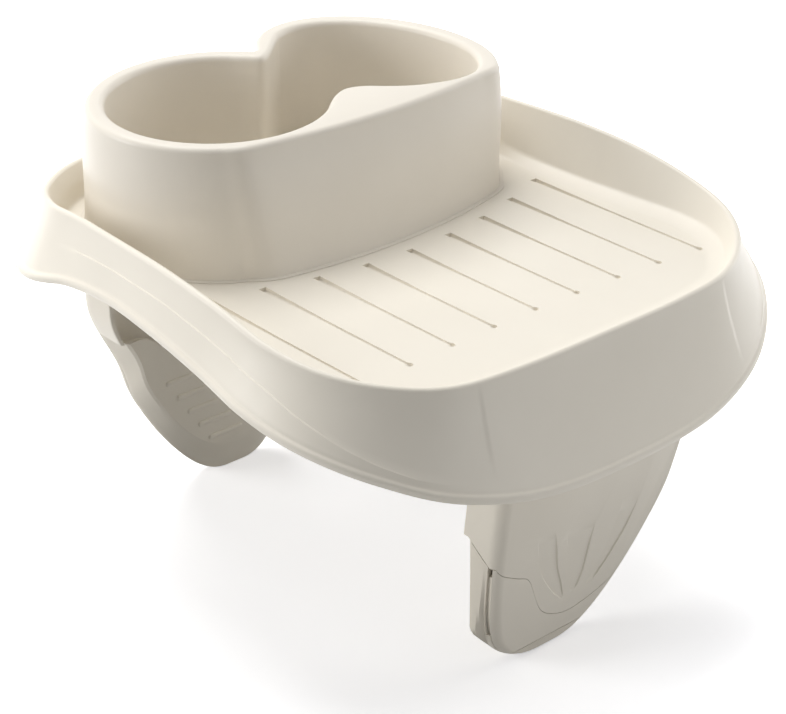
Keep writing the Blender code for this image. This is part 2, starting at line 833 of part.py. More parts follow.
def make_lower_shell(side, turned, parts, cutters):
    """The outer panel below the seam, with a low wall round its edge."""
    high, low, far = DECK_TOP + 20 * MM, -20 * MM, UPPER_DEPTH + 10 * MM
    seam = line(SEAM_OUTLINE, -GAP, turned)
    shell = make_leg_mould(side + "_leg_lower_shell", turned, SHELL_SECTION, upper_depth, parts)
    hollow = leg_outline_ring(turned, LEG_WALL, LEG_WALL, LEG_WALL)
    wide = box_outline(CUT_LEFT, CUT_RIGHT, low, high)
    cuts = (
        prism(side + "_lower_hollow", hollow, LEG_WALL - GAP, far, cutters),
        prism(side + "_behind_lower", wide, SHELL_DEPTH, far, cutters),
        prism(
            side + "_above_seam", band(seam, level(seam, high)),
            -far, far, cutters,
        ),
        prism(
            side + "_lower_tip", box_outline(CUT_LEFT, CUT_RIGHT, low, TIP_HEIGHT + GAP),
            -far, far, cutters,
        ),
    )
    for cut in cuts:
        boolean(shell, cut, "DIFFERENCE")
    return applied(shell)


def make_grip_plate(side, turned, parts, cutters):
    """The inner plate with its ribs and end walls, and the tip that the leg stands on."""
    high, low, far = DECK_TOP + 20 * MM, -20 * MM, UPPER_DEPTH + 10 * MM
    edge = line(GRIP_OUTLINE, 0.0, turned)
    floor = line(SLOT_FLOOR, 0.0, turned)
    plate = make_leg_mould(side + "_leg_grip_plate", turned, GRIP_SECTION, grip_depth, parts)
    cuts = (
        make_grip_hollow(side + "_grip_hollow", turned, cutters),
        prism(
            side + "_grip_front", box_outline(CUT_LEFT, CUT_RIGHT, TIP_HEIGHT, high),
            -far, SHELL_DEPTH + GAP, cutters,
        ),
        prism(
            side + "_grip_slot", band(floor, level(floor, high)),
            0.0, SLOT_END + 2 * GAP, cutters,
        ),
        prism(
            side + "_above_grip", band(edge, level(edge, high)),
            -far, far, cutters,
        ),
    )
    for cut in cuts:
        boolean(plate, cut, "DIFFERENCE")
    for index in range(RIB_COUNT):
        boolean(plate, make_rib(side, index, cutters), "UNION")
    return applied(plate)


def make_leg(side, turned, parts, cutters, material):
    """The three shells of one leg."""
    for make in (make_upper_shell, make_lower_shell, make_grip_plate):
        piece = make(side, turned, parts, cutters)
        if turned:
            turn_half(piece)
        piece.data.materials.clear()
        piece.data.materials.append(material)


def make_rib(side, index, cutters):
    """A level grip rib that stands a little proud of the plate's inner face."""
    z = RIB_LOWEST + index * RIB_PITCH
    left = RIB_START + index * RIB_SHIFT
    right = left + RIB_LENGTH - index * RIB_SHORTER
    face = grip_depth(z)
    return prism(
        side + "_rib_" + str(index), box_outline(left, right, z, z + RIB_HEIGHT),
        face - 1.5 * MM, face + RIB_PROUD, cutters,
    )


def make_socket(turned, cutters):
    """The collar under the deck that the top of a leg plugs into."""
    top = DECK_TOP - 0.5 * DECK_WALL
    low = DECK_TOP - DECK_WALL - SOCKET_DEPTH
    wall = SOCKET_WALL + GAP
    name = "rear_socket" if turned else "front_socket"
    outer = box_outline(LEG_LEFT - wall, LEG_RIGHT + wall, low, top)
    inner = box_outline(LEG_LEFT - GAP, LEG_RIGHT + GAP, low - 5 * MM, DECK_TOP - DECK_WALL)
    collar = prism(name, outer, -wall, UPPER_DEPTH + wall, cutters)
    boolean(collar, prism(name + "_hollow", inner, -GAP, UPPER_DEPTH + GAP, cutters), "DIFFERENCE")
    applied(collar)
    if turned:
        turn_half(collar)
    return collar


def main():
    clear_scene()
    parts = new_collection("hot_tub_tray")
    cutters = new_collection("cutters", hidden=True)
    ivory = new_material("ivory_plastic", (0.79, 0.74, 0.65), 0.38)
    make_cup_block(parts, ivory)
    make_tray_deck(parts, cutters, ivory)
    make_leg("front", False, parts, cutters, ivory)
    make_leg("rear", True, parts, cutters, ivory)
    for cutter in cutters.objects:
        cutter.hide_render = True
        cutter.display_type = "WIRE"


main()
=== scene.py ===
# %% [markdown]
# # A twin-cup tray for the wall of a hot tub
# The real tray is a set of ivory plastic mouldings: a flared tray with drain grooves,
# a tall block with two open cup wells, and two fin-shaped legs that plug in below and
# straddle the soft wall of the tub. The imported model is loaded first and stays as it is.
# Each piece below is built round it, in the same metres and the same frame.

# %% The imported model
import math
from functools import partial

import bmesh
import bpy
from mathutils import Matrix, Vector


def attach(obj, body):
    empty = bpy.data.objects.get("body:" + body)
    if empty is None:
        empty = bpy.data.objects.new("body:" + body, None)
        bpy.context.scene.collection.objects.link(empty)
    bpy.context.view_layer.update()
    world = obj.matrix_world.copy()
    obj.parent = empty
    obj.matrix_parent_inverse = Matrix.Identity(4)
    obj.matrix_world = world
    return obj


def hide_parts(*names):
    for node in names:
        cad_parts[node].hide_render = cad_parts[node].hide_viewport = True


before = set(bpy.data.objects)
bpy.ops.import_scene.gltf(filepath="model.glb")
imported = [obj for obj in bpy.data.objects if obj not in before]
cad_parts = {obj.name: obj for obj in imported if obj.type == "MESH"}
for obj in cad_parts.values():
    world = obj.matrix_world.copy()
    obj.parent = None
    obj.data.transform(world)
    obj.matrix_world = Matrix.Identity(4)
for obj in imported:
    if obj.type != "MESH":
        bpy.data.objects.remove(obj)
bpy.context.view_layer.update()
MM = 0.001
GAP = 0.3 * MM

# %% [markdown]
# ## The camera
# The photograph was taken from the front left, a little above the rim. The direction,
# the tilt and the lens come from fitting the grooves, the rim and the cup outlines.

# %% Camera
AZIMUTH = math.radians(-42.823)
PITCH = math.radians(27.438)
ROLL = math.radians(1.044)
LENS_MM = 102.35
CAMERA_PLACE = Vector((-0.6210, -0.6714, 0.5807))


def camera_axes(azimuth, pitch, roll):
    """The right, up and backward directions of a camera that looks at the tray."""
    back = Vector(
        (math.sin(azimuth) * math.cos(pitch), -math.cos(azimuth) * math.cos(pitch), math.sin(pitch))
    )
    level_right = Vector((0, 0, 1)).cross(back).normalized()
    level_up = back.cross(level_right)
    right = math.cos(roll) * level_right + math.sin(roll) * level_up
    up = math.cos(roll) * level_up - math.sin(roll) * level_right
    return right, up, back


def new_object(name, data):
    """A new object in the scene, at the origin and unturned."""
    obj = bpy.data.objects.new(name, data)
    bpy.context.scene.collection.objects.link(obj)
    return obj


camera_data = bpy.data.cameras.new("camera")
camera_data.sensor_fit = "HORIZONTAL"
camera_data.sensor_width = 36.0
camera_data.lens = LENS_MM
camera = new_object("camera", camera_data)
turn = Matrix(camera_axes(AZIMUTH, PITCH, ROLL)).transposed().to_4x4()
camera.matrix_world = Matrix.Translation(CAMERA_PLACE) @ turn
bpy.context.scene.camera = camera
print("camera stands", round(CAMERA_PLACE.length, 3), "m from the origin")

# %% [markdown]
# ## Small helpers for nodes
# A material and a Geometry Nodes tree are both made of nodes and links. Two helpers
# keep the trees short: one makes a node and fills its sockets, the other does sums.


# %% Node helpers
def add_node(tree, kind, sockets=None, **settings):
    """A new node. sockets maps an input's name or number to a value, or to another node's output."""
    node = tree.nodes.new(kind)
    for name, value in settings.items():
        setattr(node, name, value)
    for key, value in (sockets or {}).items():
        if isinstance(value, bpy.types.NodeSocket):
            tree.links.new(value, node.inputs[key])
        else:
            node.inputs[key].default_value = value
    return node


def calc(tree, operation, *values):
    """One Math node; gives its result."""
    sockets = {index: value for index, value in enumerate(values)}
    return add_node(tree, "ShaderNodeMath", sockets, operation=operation).outputs[0]


# %% [markdown]
# ## The ivory plastic
# All the mouldings are the same warm ivory polypropylene with a satin skin. The cup block's
# copy of it is made a little darker, which is painted shade on the whole block. Three
# things keep it from looking like paint: a faint drift of colour over centimetres, a sheen
# that varies a little, and a fine moulded grain. Each is a noise texture on Object
# coordinates, so the pattern stays put on the piece whatever moves.


# %% Plastic material
# scale, detail and roughness of the noise for the colour, the sheen and the grain
DRIFT = (22.0, 3.0, 0.55)
CLOUDS = (140.0, 4.0, 0.6)
GRAIN = (1500.0, 2.0, 0.5)
NOISE_LOW = 0.3
NOISE_HIGH = 0.7
GRAIN_DEPTH = 0.04 * MM
PLASTIC_IOR = 1.49
SPECULAR_LEVEL = 0.3


def noise(tree, place, scale, detail, roughness):
    """The value of a noise texture."""
    sockets = {"Vector": place, "Scale": scale, "Detail": detail, "Roughness": roughness}
    return add_node(tree, "ShaderNodeTexNoise", sockets).outputs["Fac"]


def plastic(name, pale, deep, smooth, rough, grain):
    """Satin plastic between two tones of one colour, with a sheen from smooth to rough."""
    material = bpy.data.materials.new(name)
    material.use_nodes = True
    tree = material.node_tree
    shader = tree.nodes["Principled BSDF"]
    place = add_node(tree, "ShaderNodeTexCoord").outputs["Object"]
    tone = add_node(tree, "ShaderNodeValToRGB", {"Fac": noise(tree, place, *DRIFT)})
    ends = zip(tone.color_ramp.elements, (NOISE_LOW, NOISE_HIGH), (deep, pale))
    for element, position, colour in ends:
        element.position = position
        element.color = (*colour, 1.0)
    tree.links.new(tone.outputs["Color"], shader.inputs["Base Color"])
    spread = {"From Min": NOISE_LOW, "From Max": NOISE_HIGH, "To Min": smooth, "To Max": rough}
    spread["Value"] = noise(tree, place, *CLOUDS)
    sheen = add_node(tree, "ShaderNodeMapRange", spread)
    tree.links.new(sheen.outputs["Result"], shader.inputs["Roughness"])
    skin = {"Height": noise(tree, place, *GRAIN), "Strength": grain, "Distance": GRAIN_DEPTH}
    bump = add_node(tree, "ShaderNodeBump", skin)
    tree.links.new(bump.outputs["Normal"], shader.inputs["Normal"])
    shader.inputs["IOR"].default_value = PLASTIC_IOR
    shader.inputs["Specular IOR Level"].default_value = SPECULAR_LEVEL
    return material


TRAY_PLASTIC = plastic("tray_plastic", (0.835, 0.785, 0.69), (0.815, 0.765, 0.67), 0.34, 0.42, 0.35)
# the cup block's ivory is the tray's made a little darker: painted shade on the whole block
CUP_SHADED_PLASTIC = plastic("cup_plastic", (0.79, 0.74, 0.655), (0.77, 0.72, 0.635), 0.33, 0.41, 0.35)
SHELL_PLASTIC = plastic("shell_plastic", (0.82, 0.77, 0.675), (0.80, 0.75, 0.655), 0.38, 0.46, 0.45)
GRIP_PLASTIC = plastic("grip_plastic", (0.775, 0.725, 0.63), (0.755, 0.705, 0.61), 0.46, 0.56, 0.6)
print("materials:", [m.name for m in (TRAY_PLASTIC, CUP_SHADED_PLASTIC, SHELL_PLASTIC, GRIP_PLASTIC)])

# %% [markdown]
# ## Curves and lofts
# Nearly every moulding here is a loft: a row of rings, each with the same number of
# points, joined by faces. The rings come from a few measured stations, and a
# Catmull-Rom curve passes smoothly through all of them.


# %% Curve helpers
CORNER_SHARE = 0.45


def catmull_rom(values, share):
    """A smooth curve through four values in a row, between the second and the third."""
    before, start, end, after = values
    return 0.5 * (
        2.0 * start
        + (end - before) * share
        + (2.0 * before - 5.0 * start + 4.0 * end - after) * share**2
        + (3.0 * start - before - 3.0 * end + after) * share**3
    )


def in_metres(points):
    """Pairs of millimetres as pairs of metres."""
    return [(first * MM, second * MM) for first, second in points]


def with_neighbours(values):
    """Each value of a closed row, between the one before it and the one after it."""
    return zip(values[-1:] + values[:-1], values, values[1:] + values[:1])


def four_near(rows, i):
    """The row before i, row i and the two after it, on a closed curve."""
    return [rows[(i + k) % len(rows)] for k in (-1, 0, 1, 2)]


def sampled(fours, steps):
    """So many steps along each stretch of a curve. A stretch has its four nearest rows."""
    return [
        [catmull_rom(values, step / steps) for values in zip(*four)]
        for four in fours for step in range(steps)
    ]


def smooth_closed(rows, steps):
    """Rows of numbers joined by one closed curve."""
    return sampled([four_near(rows, i) for i in range(len(rows))], steps)


def smooth_open(rows, steps):
    """Rows of numbers joined by one open curve that ends on the first and the last row."""
    last = len(rows) - 1
    fours = [[rows[max(0, min(last, i + k))] for k in (-1, 0, 1, 2)] for i in range(last)]
    return sampled(fours, steps) + [list(rows[-1])]


def smooth_step(low, high, value):
    """0 below low, 1 above high, and a soft rise in between."""
    share = min(1.0, max(0.0, (value - low) / (high - low)))
    return share * share * (3.0 - 2.0 * share)


def round_corner(before, corner, after, reach, steps):
    """Points round a corner of a section, from one side of it to the other."""
    before, corner, after = Vector(before), Vector(corner), Vector(after)
    reach = min(reach, CORNER_SHARE * (before - corner).length, CORNER_SHARE * (after - corner).length)
    start = corner + (before - corner).normalized() * reach
    end = corner + (after - corner).normalized() * reach
    points = []
    for step in range(steps + 1):
        t = step / steps
        points.append(tuple(start * (1 - t) ** 2 + corner * 2 * t * (1 - t) + end * t**2))
    return points


# %% Mesh helpers
SHARP_DEGREES = 32.0


def loft(name, rings, capped=True):
    """A closed solid through rings of equally many points. With no caps, the last ring joins the first."""
    work = bmesh.new()
    loops = [[work.verts.new(point) for point in ring] for ring in rings]
    pairs = list(zip(loops, loops[1:]))
    if not capped:
        pairs.append((loops[-1], loops[0]))
    for low, high in pairs:
        for i in range(len(low)):
            j = (i + 1) % len(low)
            work.faces.new((low[i], low[j], high[j], high[i]))
    if capped:
        work.faces.new(loops[0])
        work.faces.new(loops[-1])
    bmesh.ops.recalc_face_normals(work, faces=work.faces)
    mesh = bpy.data.meshes.new(name)
    work.to_mesh(mesh)
    work.free()
    return new_object(name, mesh)


def apply_modifiers(obj):
    """Replaces an object's mesh by what its modifiers make of it."""
    graph = bpy.context.evaluated_depsgraph_get()
    mesh = bpy.data.meshes.new_from_object(obj.evaluated_get(graph))
    obj.modifiers.clear()
    obj.data = mesh


def cut_or_join(target, others, operation):
    """Cuts the others from the target, or joins them to it, and makes the result its mesh."""
    for other in others:
        modifier = target.modifiers.new(operation.lower(), "BOOLEAN")
        modifier.operation = operation
        modifier.solver = "EXACT"
        modifier.object = other
    apply_modifiers(target)
    for other in others:
        bpy.data.objects.remove(other)
    return target


def finish_piece(obj, body, node, material, sharp_degrees=SHARP_DEGREES):
    """Smooth shading with crisp edges, the material, and what the piece stands for."""
    obj.data.materials.clear()
    obj.data.materials.append(material)
    for polygon in obj.data.polygons:
        polygon.material_index = 0
        polygon.use_smooth = True
    obj.data.set_sharp_from_angle(angle=math.radians(sharp_degrees))
    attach(obj, body)
    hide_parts(node)
    print(obj.name, "has", len(obj.data.vertices), "points and", len(obj.data.polygons), "faces")


# %% [markdown]
# ## The tray
# The rim runs high round the cups and dips to a low front edge. Fifteen stations from
# the middle of the front to the middle of the rear hold the rim's place, its height, how
# far the skirt flares and drops, and how the inner wall meets the floor. The other half
# is their mirror image.

# %% Tray sizes
DECK_TOP = 164.0 * MM
DECK_WALL = 2.5 * MM
RIM_HALF_WIDTH = 127.5 * MM
RIM_FRONT = -129.5 * MM
RIM_REAR = 143.0 * MM
RIM_RADIUS = 1.9 * MM
RIM_SOLID_HEIGHT = 7.0 * MM
BEAD_HEIGHT = 4.5 * MM
BEAD_LIP = 1.9 * MM
BEAD_CURL = 1.5 * MM
BEAD_CURL_STATION = 10.6
BEAD_CURL_REACH = 2.4
BEAD_STEP = 1.4 * MM
FLARE_POWER = 1.25
# share of the half width, share of the length, rise of the rim, flare, drop of the
# skirt, rise of the ledge, run of the inner wall, width of the sloped border (mm)
STATIONS = (
    (0.000, 0.000, 5.5, 22.5, 48.0, 1.0, 1.5, 6.0),
    (0.376, 0.003, 5.5, 21.0, 46.5, 1.0, 1.5, 6.0),
    (0.643, 0.020, 6.0, 17.5, 39.5, 1.5, 2.0, 6.5),
    (0.831, 0.070, 9.0, 16.5, 28.5, 2.0, 3.5, 7.5),
    (0.949, 0.141, 12.5, 16.0, 19.0, 2.5, 5.0, 8.5),
    (1.000, 0.233, 16.5, 13.5, 13.0, 2.5, 7.0, 9.0),
    (1.000, 0.354, 22.0, 10.0, 8.5, 2.5, 9.5, 9.0),
    (0.986, 0.486, 24.5, 9.0, 4.5, 2.5, 10.0, 9.0),
    (0.968, 0.615, 24.5, 8.5, 3.5, 4.0, 8.5, 5.0),
    (0.949, 0.725, 23.8, 11.0, 6.5, 9.0, 6.5, 1.5),
    (0.928, 0.820, 21.6, 15.0, 13.0, 10.5, 4.5, 1.0),
    (0.826, 0.905, 18.4, 15.5, 17.5, 9.0, 3.0, 1.0),
    (0.615, 0.974, 16.4, 12.0, 19.5, 8.5, 2.5, 0.8),
    (0.315, 0.998, 16.0, 9.0, 21.5, 8.5, 2.5, 0.8),
    (0.000, 1.000, 16.0, 9.0, 22.5, 8.5, 2.5, 0.8),
)
TRAY_STEPS = 12
RIM_ROWS = 10
# stations from the front, and the share of the way down the skirt where the crease lies
FLANK_CREASE = (
    (0.0, 0.94), (2.6, 0.94), (3.05, 0.91), (3.5, 0.84), (4.0, 0.74), (4.75, 0.58), (5.5, 0.51),
    (6.9, 0.50), (7.5, 0.53), (14.0, 0.53),
)
CREASE_STEP = 0.5 * MM
CREASE_EDGE = 0.008
CREASE_ENDS = (1.8, 2.8, 8.4, 9.6)
ROWS_ABOVE_CREASE = 9
ROWS_BELOW_CREASE = 6
FRONT_CREASES = (1.81, 26.37)
FRONT_PROUD = 0.22 * MM
FRONT_PROUD_ENDS = (0.0, 0.14, 0.62, 0.92)
CLOSE_PLACES = (-0.05, -0.007, 0.007, 0.05)
CLEAR_PLACES = 0.065
NORMAL_STEP = 0.05
FLOOR_RUN = 4.0 * MM
FLOOR_ROUNDING = 3.0 * MM
WALL_ROUNDING = 1.6 * MM
UNDERSIDE_SHARES = (1.0, 0.9, 0.75, 0.6)
# margins that keep the corners of the underside in order where the wall is low
HOLLOW_LEAST = 0.8 * MM
HOLLOW_CLEAR = 1.0 * MM
LEDGE_INSIDE = 0.3 * MM
LEDGE_BELOW = 0.1 * MM
MERGE_DISTANCE = 0.01 * MM


# %% Tray outline
def station_rows():
    """The stations all round, as x, y, rise, flare, drop, ledge, run and border in metres."""
    half = []
    for across, along, *sizes in STATIONS:
        y = RIM_FRONT + along * (RIM_REAR - RIM_FRONT)
        half.append([across * RIM_HALF_WIDTH, y] + [size * MM for size in sizes])
    return half + [[-row[0]] + row[1:] for row in reversed(half[1:-1])]


def rim_at(rows, place):
    """The sizes at a place on the rim, counted in stations."""
    i = math.floor(place)
    return [catmull_rom(values, place - i) for values in zip(*four_near(rows, i))]


def rim_places(count):
    """Even places round the rim, with close ones on both sides of the front creases."""
    places = [k / TRAY_STEPS for k in range(count * TRAY_STEPS)]
    for middle in FRONT_CREASES:
        places = [place for place in places if abs(place - middle) > CLEAR_PLACES]
        places += [middle + shift for shift in CLOSE_PLACES]
    return sorted(places)


def outward(before, after):
    """The direction straight outwards, between two points of an outline."""
    along = Vector((after[0] - before[0], after[1] - before[1])).normalized()
    return Vector((along.y, -along.x))


def rim_normal(rows, place):
    """The direction straight outwards at a place on the rim."""
    return outward(rim_at(rows, place - NORMAL_STEP), rim_at(rows, place + NORMAL_STEP))


# %% Skirt
def between_marks(marks, place):
    """Straight lines through marks, each a place and a value."""
    for (first, start), (last, end) in zip(marks, marks[1:]):
        if place <= last:
            return start + (end - start) * (place - first) / (last - first)
    return marks[-1][1]


def swell(ends, place):
    """Nothing outside four places in a row, one between the middle two, and soft in between."""
    return smooth_step(ends[0], ends[1], place) * (1.0 - smooth_step(ends[2], ends[3], place))


def bead_lip(from_front):
    """How far the bead stands out. It curls out further at the rear corners."""
    near = 1.0 - abs(from_front - BEAD_CURL_STATION) / BEAD_CURL_REACH
    return BEAD_LIP + BEAD_CURL * smooth_step(0.0, 1.0, near)


def skirt_point(rise, flare, drop, share, wall, lip=BEAD_LIP):
    """A point of the skirt, a share of its way down, moved inwards by a wall."""
    top = DECK_TOP + rise - RIM_RADIUS
    low = DECK_TOP - drop + BEAD_HEIGHT + BEAD_STEP
    reach = flare - lip - RIM_RADIUS
    return RIM_RADIUS + reach * share**FLARE_POWER - wall, top + (low - top) * share


def skirt_rows(place, from_front, rise, flare, drop, lip):
    """The outer side of the skirt. It is a little prouder below the flank crease."""
    crease = between_marks(FLANK_CREASE, from_front)
    shares = [crease * row / ROWS_ABOVE_CREASE for row in range(1, ROWS_ABOVE_CREASE)]
    shares += [crease - CREASE_EDGE, crease + CREASE_EDGE]
    rest = 1.0 - crease
    shares += [crease + rest * row / ROWS_BELOW_CREASE for row in range(1, ROWS_BELOW_CREASE + 1)]
    proud = CREASE_STEP * swell(CREASE_ENDS, from_front)
    panel = FRONT_PROUD if place < FRONT_CREASES[0] or place > FRONT_CREASES[1] else 0.0
    points = []
    for share in sorted(shares):
        out, z = skirt_point(rise, flare, drop, share, 0.0, lip)
        if share > crease:
            out += proud * (1.0 - share) / rest
        points.append((out + panel * swell(FRONT_PROUD_ENDS, share), z))
    return points


def corner_shift(lower, upper, wall):
    """How far a corner between two slopes moves, out and down, on the far side of a wall."""
    scale = wall / (1.0 + math.cos(upper - lower))
    return (math.sin(lower) + math.sin(upper)) * scale, (math.cos(lower) + math.cos(upper)) * scale


# %% [markdown]
# One section of the tray runs from the floor up the inner wall, over the round rim, down
# the flared skirt, round the bead at its foot, and back up inside. Corners that would be
# sharp in a drawing are rounded here, because a moulding has no sharp inner corners.
# A faint step runs along each flank, and a panel in the front stands a little proud.
# Both are part of the section, which is why it needs to know its place on the rim.


# %% Tray section
def tray_section(place, from_front, rise, flare, drop, ledge, run, border):
    """The section at one place of the rim: distances outwards from the rim line, and heights."""
    lip = bead_lip(from_front)
    floor_edge = (-(RIM_RADIUS + run + border), DECK_TOP)
    ledge_edge = (-(RIM_RADIUS + run), DECK_TOP + ledge)
    wall_top = (-RIM_RADIUS, DECK_TOP + rise - RIM_RADIUS)
    inside = (floor_edge[0] - FLOOR_RUN, DECK_TOP)
    points = round_corner(inside, floor_edge, ledge_edge, FLOOR_ROUNDING, 4)
    points += round_corner(floor_edge, ledge_edge, wall_top, WALL_ROUNDING, 5)
    slope = math.atan2(wall_top[1] - ledge_edge[1], wall_top[0] - ledge_edge[0])
    for row in range(RIM_ROWS + 1):
        angle = -slope + (slope + math.pi / 2) * row / RIM_ROWS
        height = DECK_TOP + rise - RIM_RADIUS
        points.append((RIM_RADIUS * math.sin(angle), height + RIM_RADIUS * math.cos(angle)))
    points += skirt_rows(place, from_front, rise, flare, drop, lip)
    low = DECK_TOP - drop
    bead = (
        points[-1],
        (flare - 0.8 * lip, low + BEAD_HEIGHT + 0.3 * BEAD_STEP),
        (flare - 0.2 * lip, low + 0.9 * BEAD_HEIGHT),
        (flare, low + 0.55 * BEAD_HEIGHT),
        (flare - 0.25 * lip, low + 0.18 * BEAD_HEIGHT),
        (flare - lip, low),
        (flare - lip - DECK_WALL, low),
    )
    points += [tuple(row) for row in smooth_open(bead, 3)[1:]]
    return points + tray_underside(rise, flare, drop, ledge, run, border, lip)


def tray_underside(rise, flare, drop, ledge, run, border, lip):
    """The inner side of the skirt, the hollow in the rim and the underside of the wall."""
    points = [skirt_point(rise, flare, drop, share, DECK_WALL, lip) for share in UNDERSIDE_SHARES]
    top = DECK_TOP + rise - RIM_RADIUS
    low = DECK_TOP - drop + BEAD_HEIGHT + BEAD_STEP
    z = DECK_TOP + rise - RIM_SOLID_HEIGHT
    share = (top - z) / (top - low)
    outer = skirt_point(rise, flare, drop, share, DECK_WALL, lip)[0]
    inner = min(-RIM_RADIUS, outer - HOLLOW_LEAST)
    points = [point for point in points if point[1] < z - HOLLOW_CLEAR] or points[:1]
    while len(points) < len(UNDERSIDE_SHARES):
        points.append(points[-1])
    lower = math.atan2(ledge, border)
    upper = math.atan2(rise - RIM_RADIUS - ledge, run)
    out, down = corner_shift(lower, upper, DECK_WALL)
    ledge_x = min(out - (RIM_RADIUS + run), inner - LEDGE_INSIDE)
    ledge_z = min(DECK_TOP + ledge - down, z - LEDGE_BELOW)
    out, down = corner_shift(0.0, lower, DECK_WALL)
    floor_x = out - (RIM_RADIUS + run + border)
    return points + [(outer, z), (inner, z), (ledge_x, ledge_z), (floor_x, DECK_TOP - down)]


# %% Tray body
def make_tray():
    """The sections all round the rim, joined point by point into rings."""
    stations = station_rows()
    places = rim_places(len(stations))
    samples = [rim_at(stations, place) for place in places]
    normals = [rim_normal(stations, place) for place in places]
    sections = []
    for place, sample in zip(places, samples):
        from_front = min(place, len(stations) - place)
        sections.append(tray_section(place, from_front, *sample[2:]))
    rings = []
    for row in range(len(sections[0])):
        ring = []
        for sample, normal, section in zip(samples, normals, sections):
            out, z = section[row]
            ring.append((sample[0] + normal.x * out, sample[1] + normal.y * out, z))
        rings.append(ring)
    return loft("tray_deck_moulding", rings)


tray = make_tray()
merge = bmesh.new()
merge.from_mesh(tray.data)
bmesh.ops.remove_doubles(merge, verts=merge.verts, dist=MERGE_DISTANCE)
merge.to_mesh(tray.data)
merge.free()
print("tray loft:", len(tray.data.vertices), "points")

# %% [markdown]
# ## The drain grooves
# Nine grooves run from the cups to the front. They are wide and deep beside the cups,
# thin out towards the front and end there in a small round pit. Their ends follow
# two curves. That is a rule, so Geometry Nodes make the cutters: one bar is
# instanced on a line of points, and each point of it is then moved by a few sums.

# %% Groove sizes
CUTTER_ABOVE = 3.0 * MM
# Front and Rear are where the middle groove ends. The bows are twice the radii of the end curves.
GROOVES = {
    "Count": 9, "Pitch": 25.0 * MM, "Front": -90.8 * MM, "Front Bow": 2000.0 * MM,
    "Rear": -10.5 * MM, "Rear Bow": 480.0 * MM, "Narrow": 1.6 * MM, "Wide": 3.8 * MM,
    "Shallow": 1.0 * MM, "Deep": 2.0 * MM, "Taper": 0.45, "Square": 0.55,
    "Pit Radius": 1.7 * MM, "Level": DECK_TOP, "Above": CUTTER_ABOVE, "Material": None,
}
GROOVE_SIDES = 16
GROOVE_ROWS = 26
GROOVE_CROWDING = 2.2
GROOVE_END_HALF = 0.2 * MM


# %% Geometry Nodes helpers
def new_tree(name, inputs):
    """An empty Geometry Nodes tree with named inputs. None stands for a material."""
    tree = bpy.data.node_groups.new(name, "GeometryNodeTree")
    tree.interface.new_socket("Geometry", in_out="OUTPUT", socket_type="NodeSocketGeometry")
    kinds = {int: "Int", float: "Float"}
    for label, value in inputs.items():
        kind = "NodeSocket" + kinds.get(type(value), "Material")
        socket = tree.interface.new_socket(label, in_out="INPUT", socket_type=kind)
        if value is not None:
            socket.default_value = value
    return tree, add_node(tree, "NodeGroupInput").outputs


def bars_on_line(tree, count, start, step, sides, rows, turn):
    """Lying bars on a line of points. Gives the bars, where a point is in its bar, and which bar."""
    along = {"Count": count, "Start Location": start.outputs[0], "Offset": step.outputs[0]}
    line = add_node(tree, "GeometryNodeMeshLine", along)
    place = add_node(tree, "GeometryNodeInputPosition").outputs[0]
    number = add_node(tree, "GeometryNodeInputIndex").outputs[0]
    keep = add_node(tree, "GeometryNodeCaptureAttribute")
    keep.capture_items.new("VECTOR", "Bar Place")
    keep.capture_items.new("FLOAT", "Bar Number")
    tree.links.new(line.outputs[0], keep.inputs["Geometry"])
    tree.links.new(place, keep.inputs["Bar Place"])
    tree.links.new(number, keep.inputs["Bar Number"])
    size = {"Vertices": sides, "Side Segments": rows, "Radius": 1.0, "Depth": 1.0}
    bar = add_node(tree, "GeometryNodeMeshCylinder", size).outputs["Mesh"]
    lying = add_node(tree, "GeometryNodeTransform", {"Geometry": bar, "Rotation": turn})
    spots = {"Points": keep.outputs["Geometry"], "Instance": lying.outputs[0]}
    many = add_node(tree, "GeometryNodeInstanceOnPoints", spots)
    real = add_node(tree, "GeometryNodeRealizeInstances", {"Geometry": many.outputs[0]})
    pair = {0: place, 1: keep.outputs["Bar Place"]}
    local = add_node(tree, "ShaderNodeVectorMath", pair, operation="SUBTRACT")
    here = add_node(tree, "ShaderNodeSeparateXYZ", {0: local.outputs[0]}).outputs
    bar_place = add_node(tree, "ShaderNodeSeparateXYZ", {0: keep.outputs["Bar Place"]}).outputs
    return real.outputs[0], here, bar_place, keep.outputs["Bar Number"]


def end_tree(tree, geometry, x, y, z, material):
    """Moves each point, then ends in Realize Instances and Set Material, as every tree does."""
    goal = add_node(tree, "ShaderNodeCombineXYZ", {"X": x, "Y": y, "Z": z}).outputs[0]
    moved = add_node(tree, "GeometryNodeSetPosition", {"Geometry": geometry, "Position": goal})
    real = add_node(tree, "GeometryNodeRealizeInstances", {"Geometry": moved.outputs[0]}).outputs[0]
    painted = add_node(tree, "GeometryNodeSetMaterial", {"Geometry": real, "Material": material})
    add_node(tree, "NodeGroupOutput", {0: painted.outputs[0]})


def run_tree(name, tree, values):
    """The tree's result as a plain mesh object. Inputs are set by identifier before it is evaluated."""
    obj = new_object(name, bpy.data.meshes.new(name))
    modifier = obj.modifiers.new("nodes", "NODES")
    modifier.node_group = tree
    for item in tree.interface.items_tree:
        if item.in_out == "INPUT" and item.name in values:
            modifier[item.identifier] = values[item.name]
    apply_modifiers(obj)
    return obj


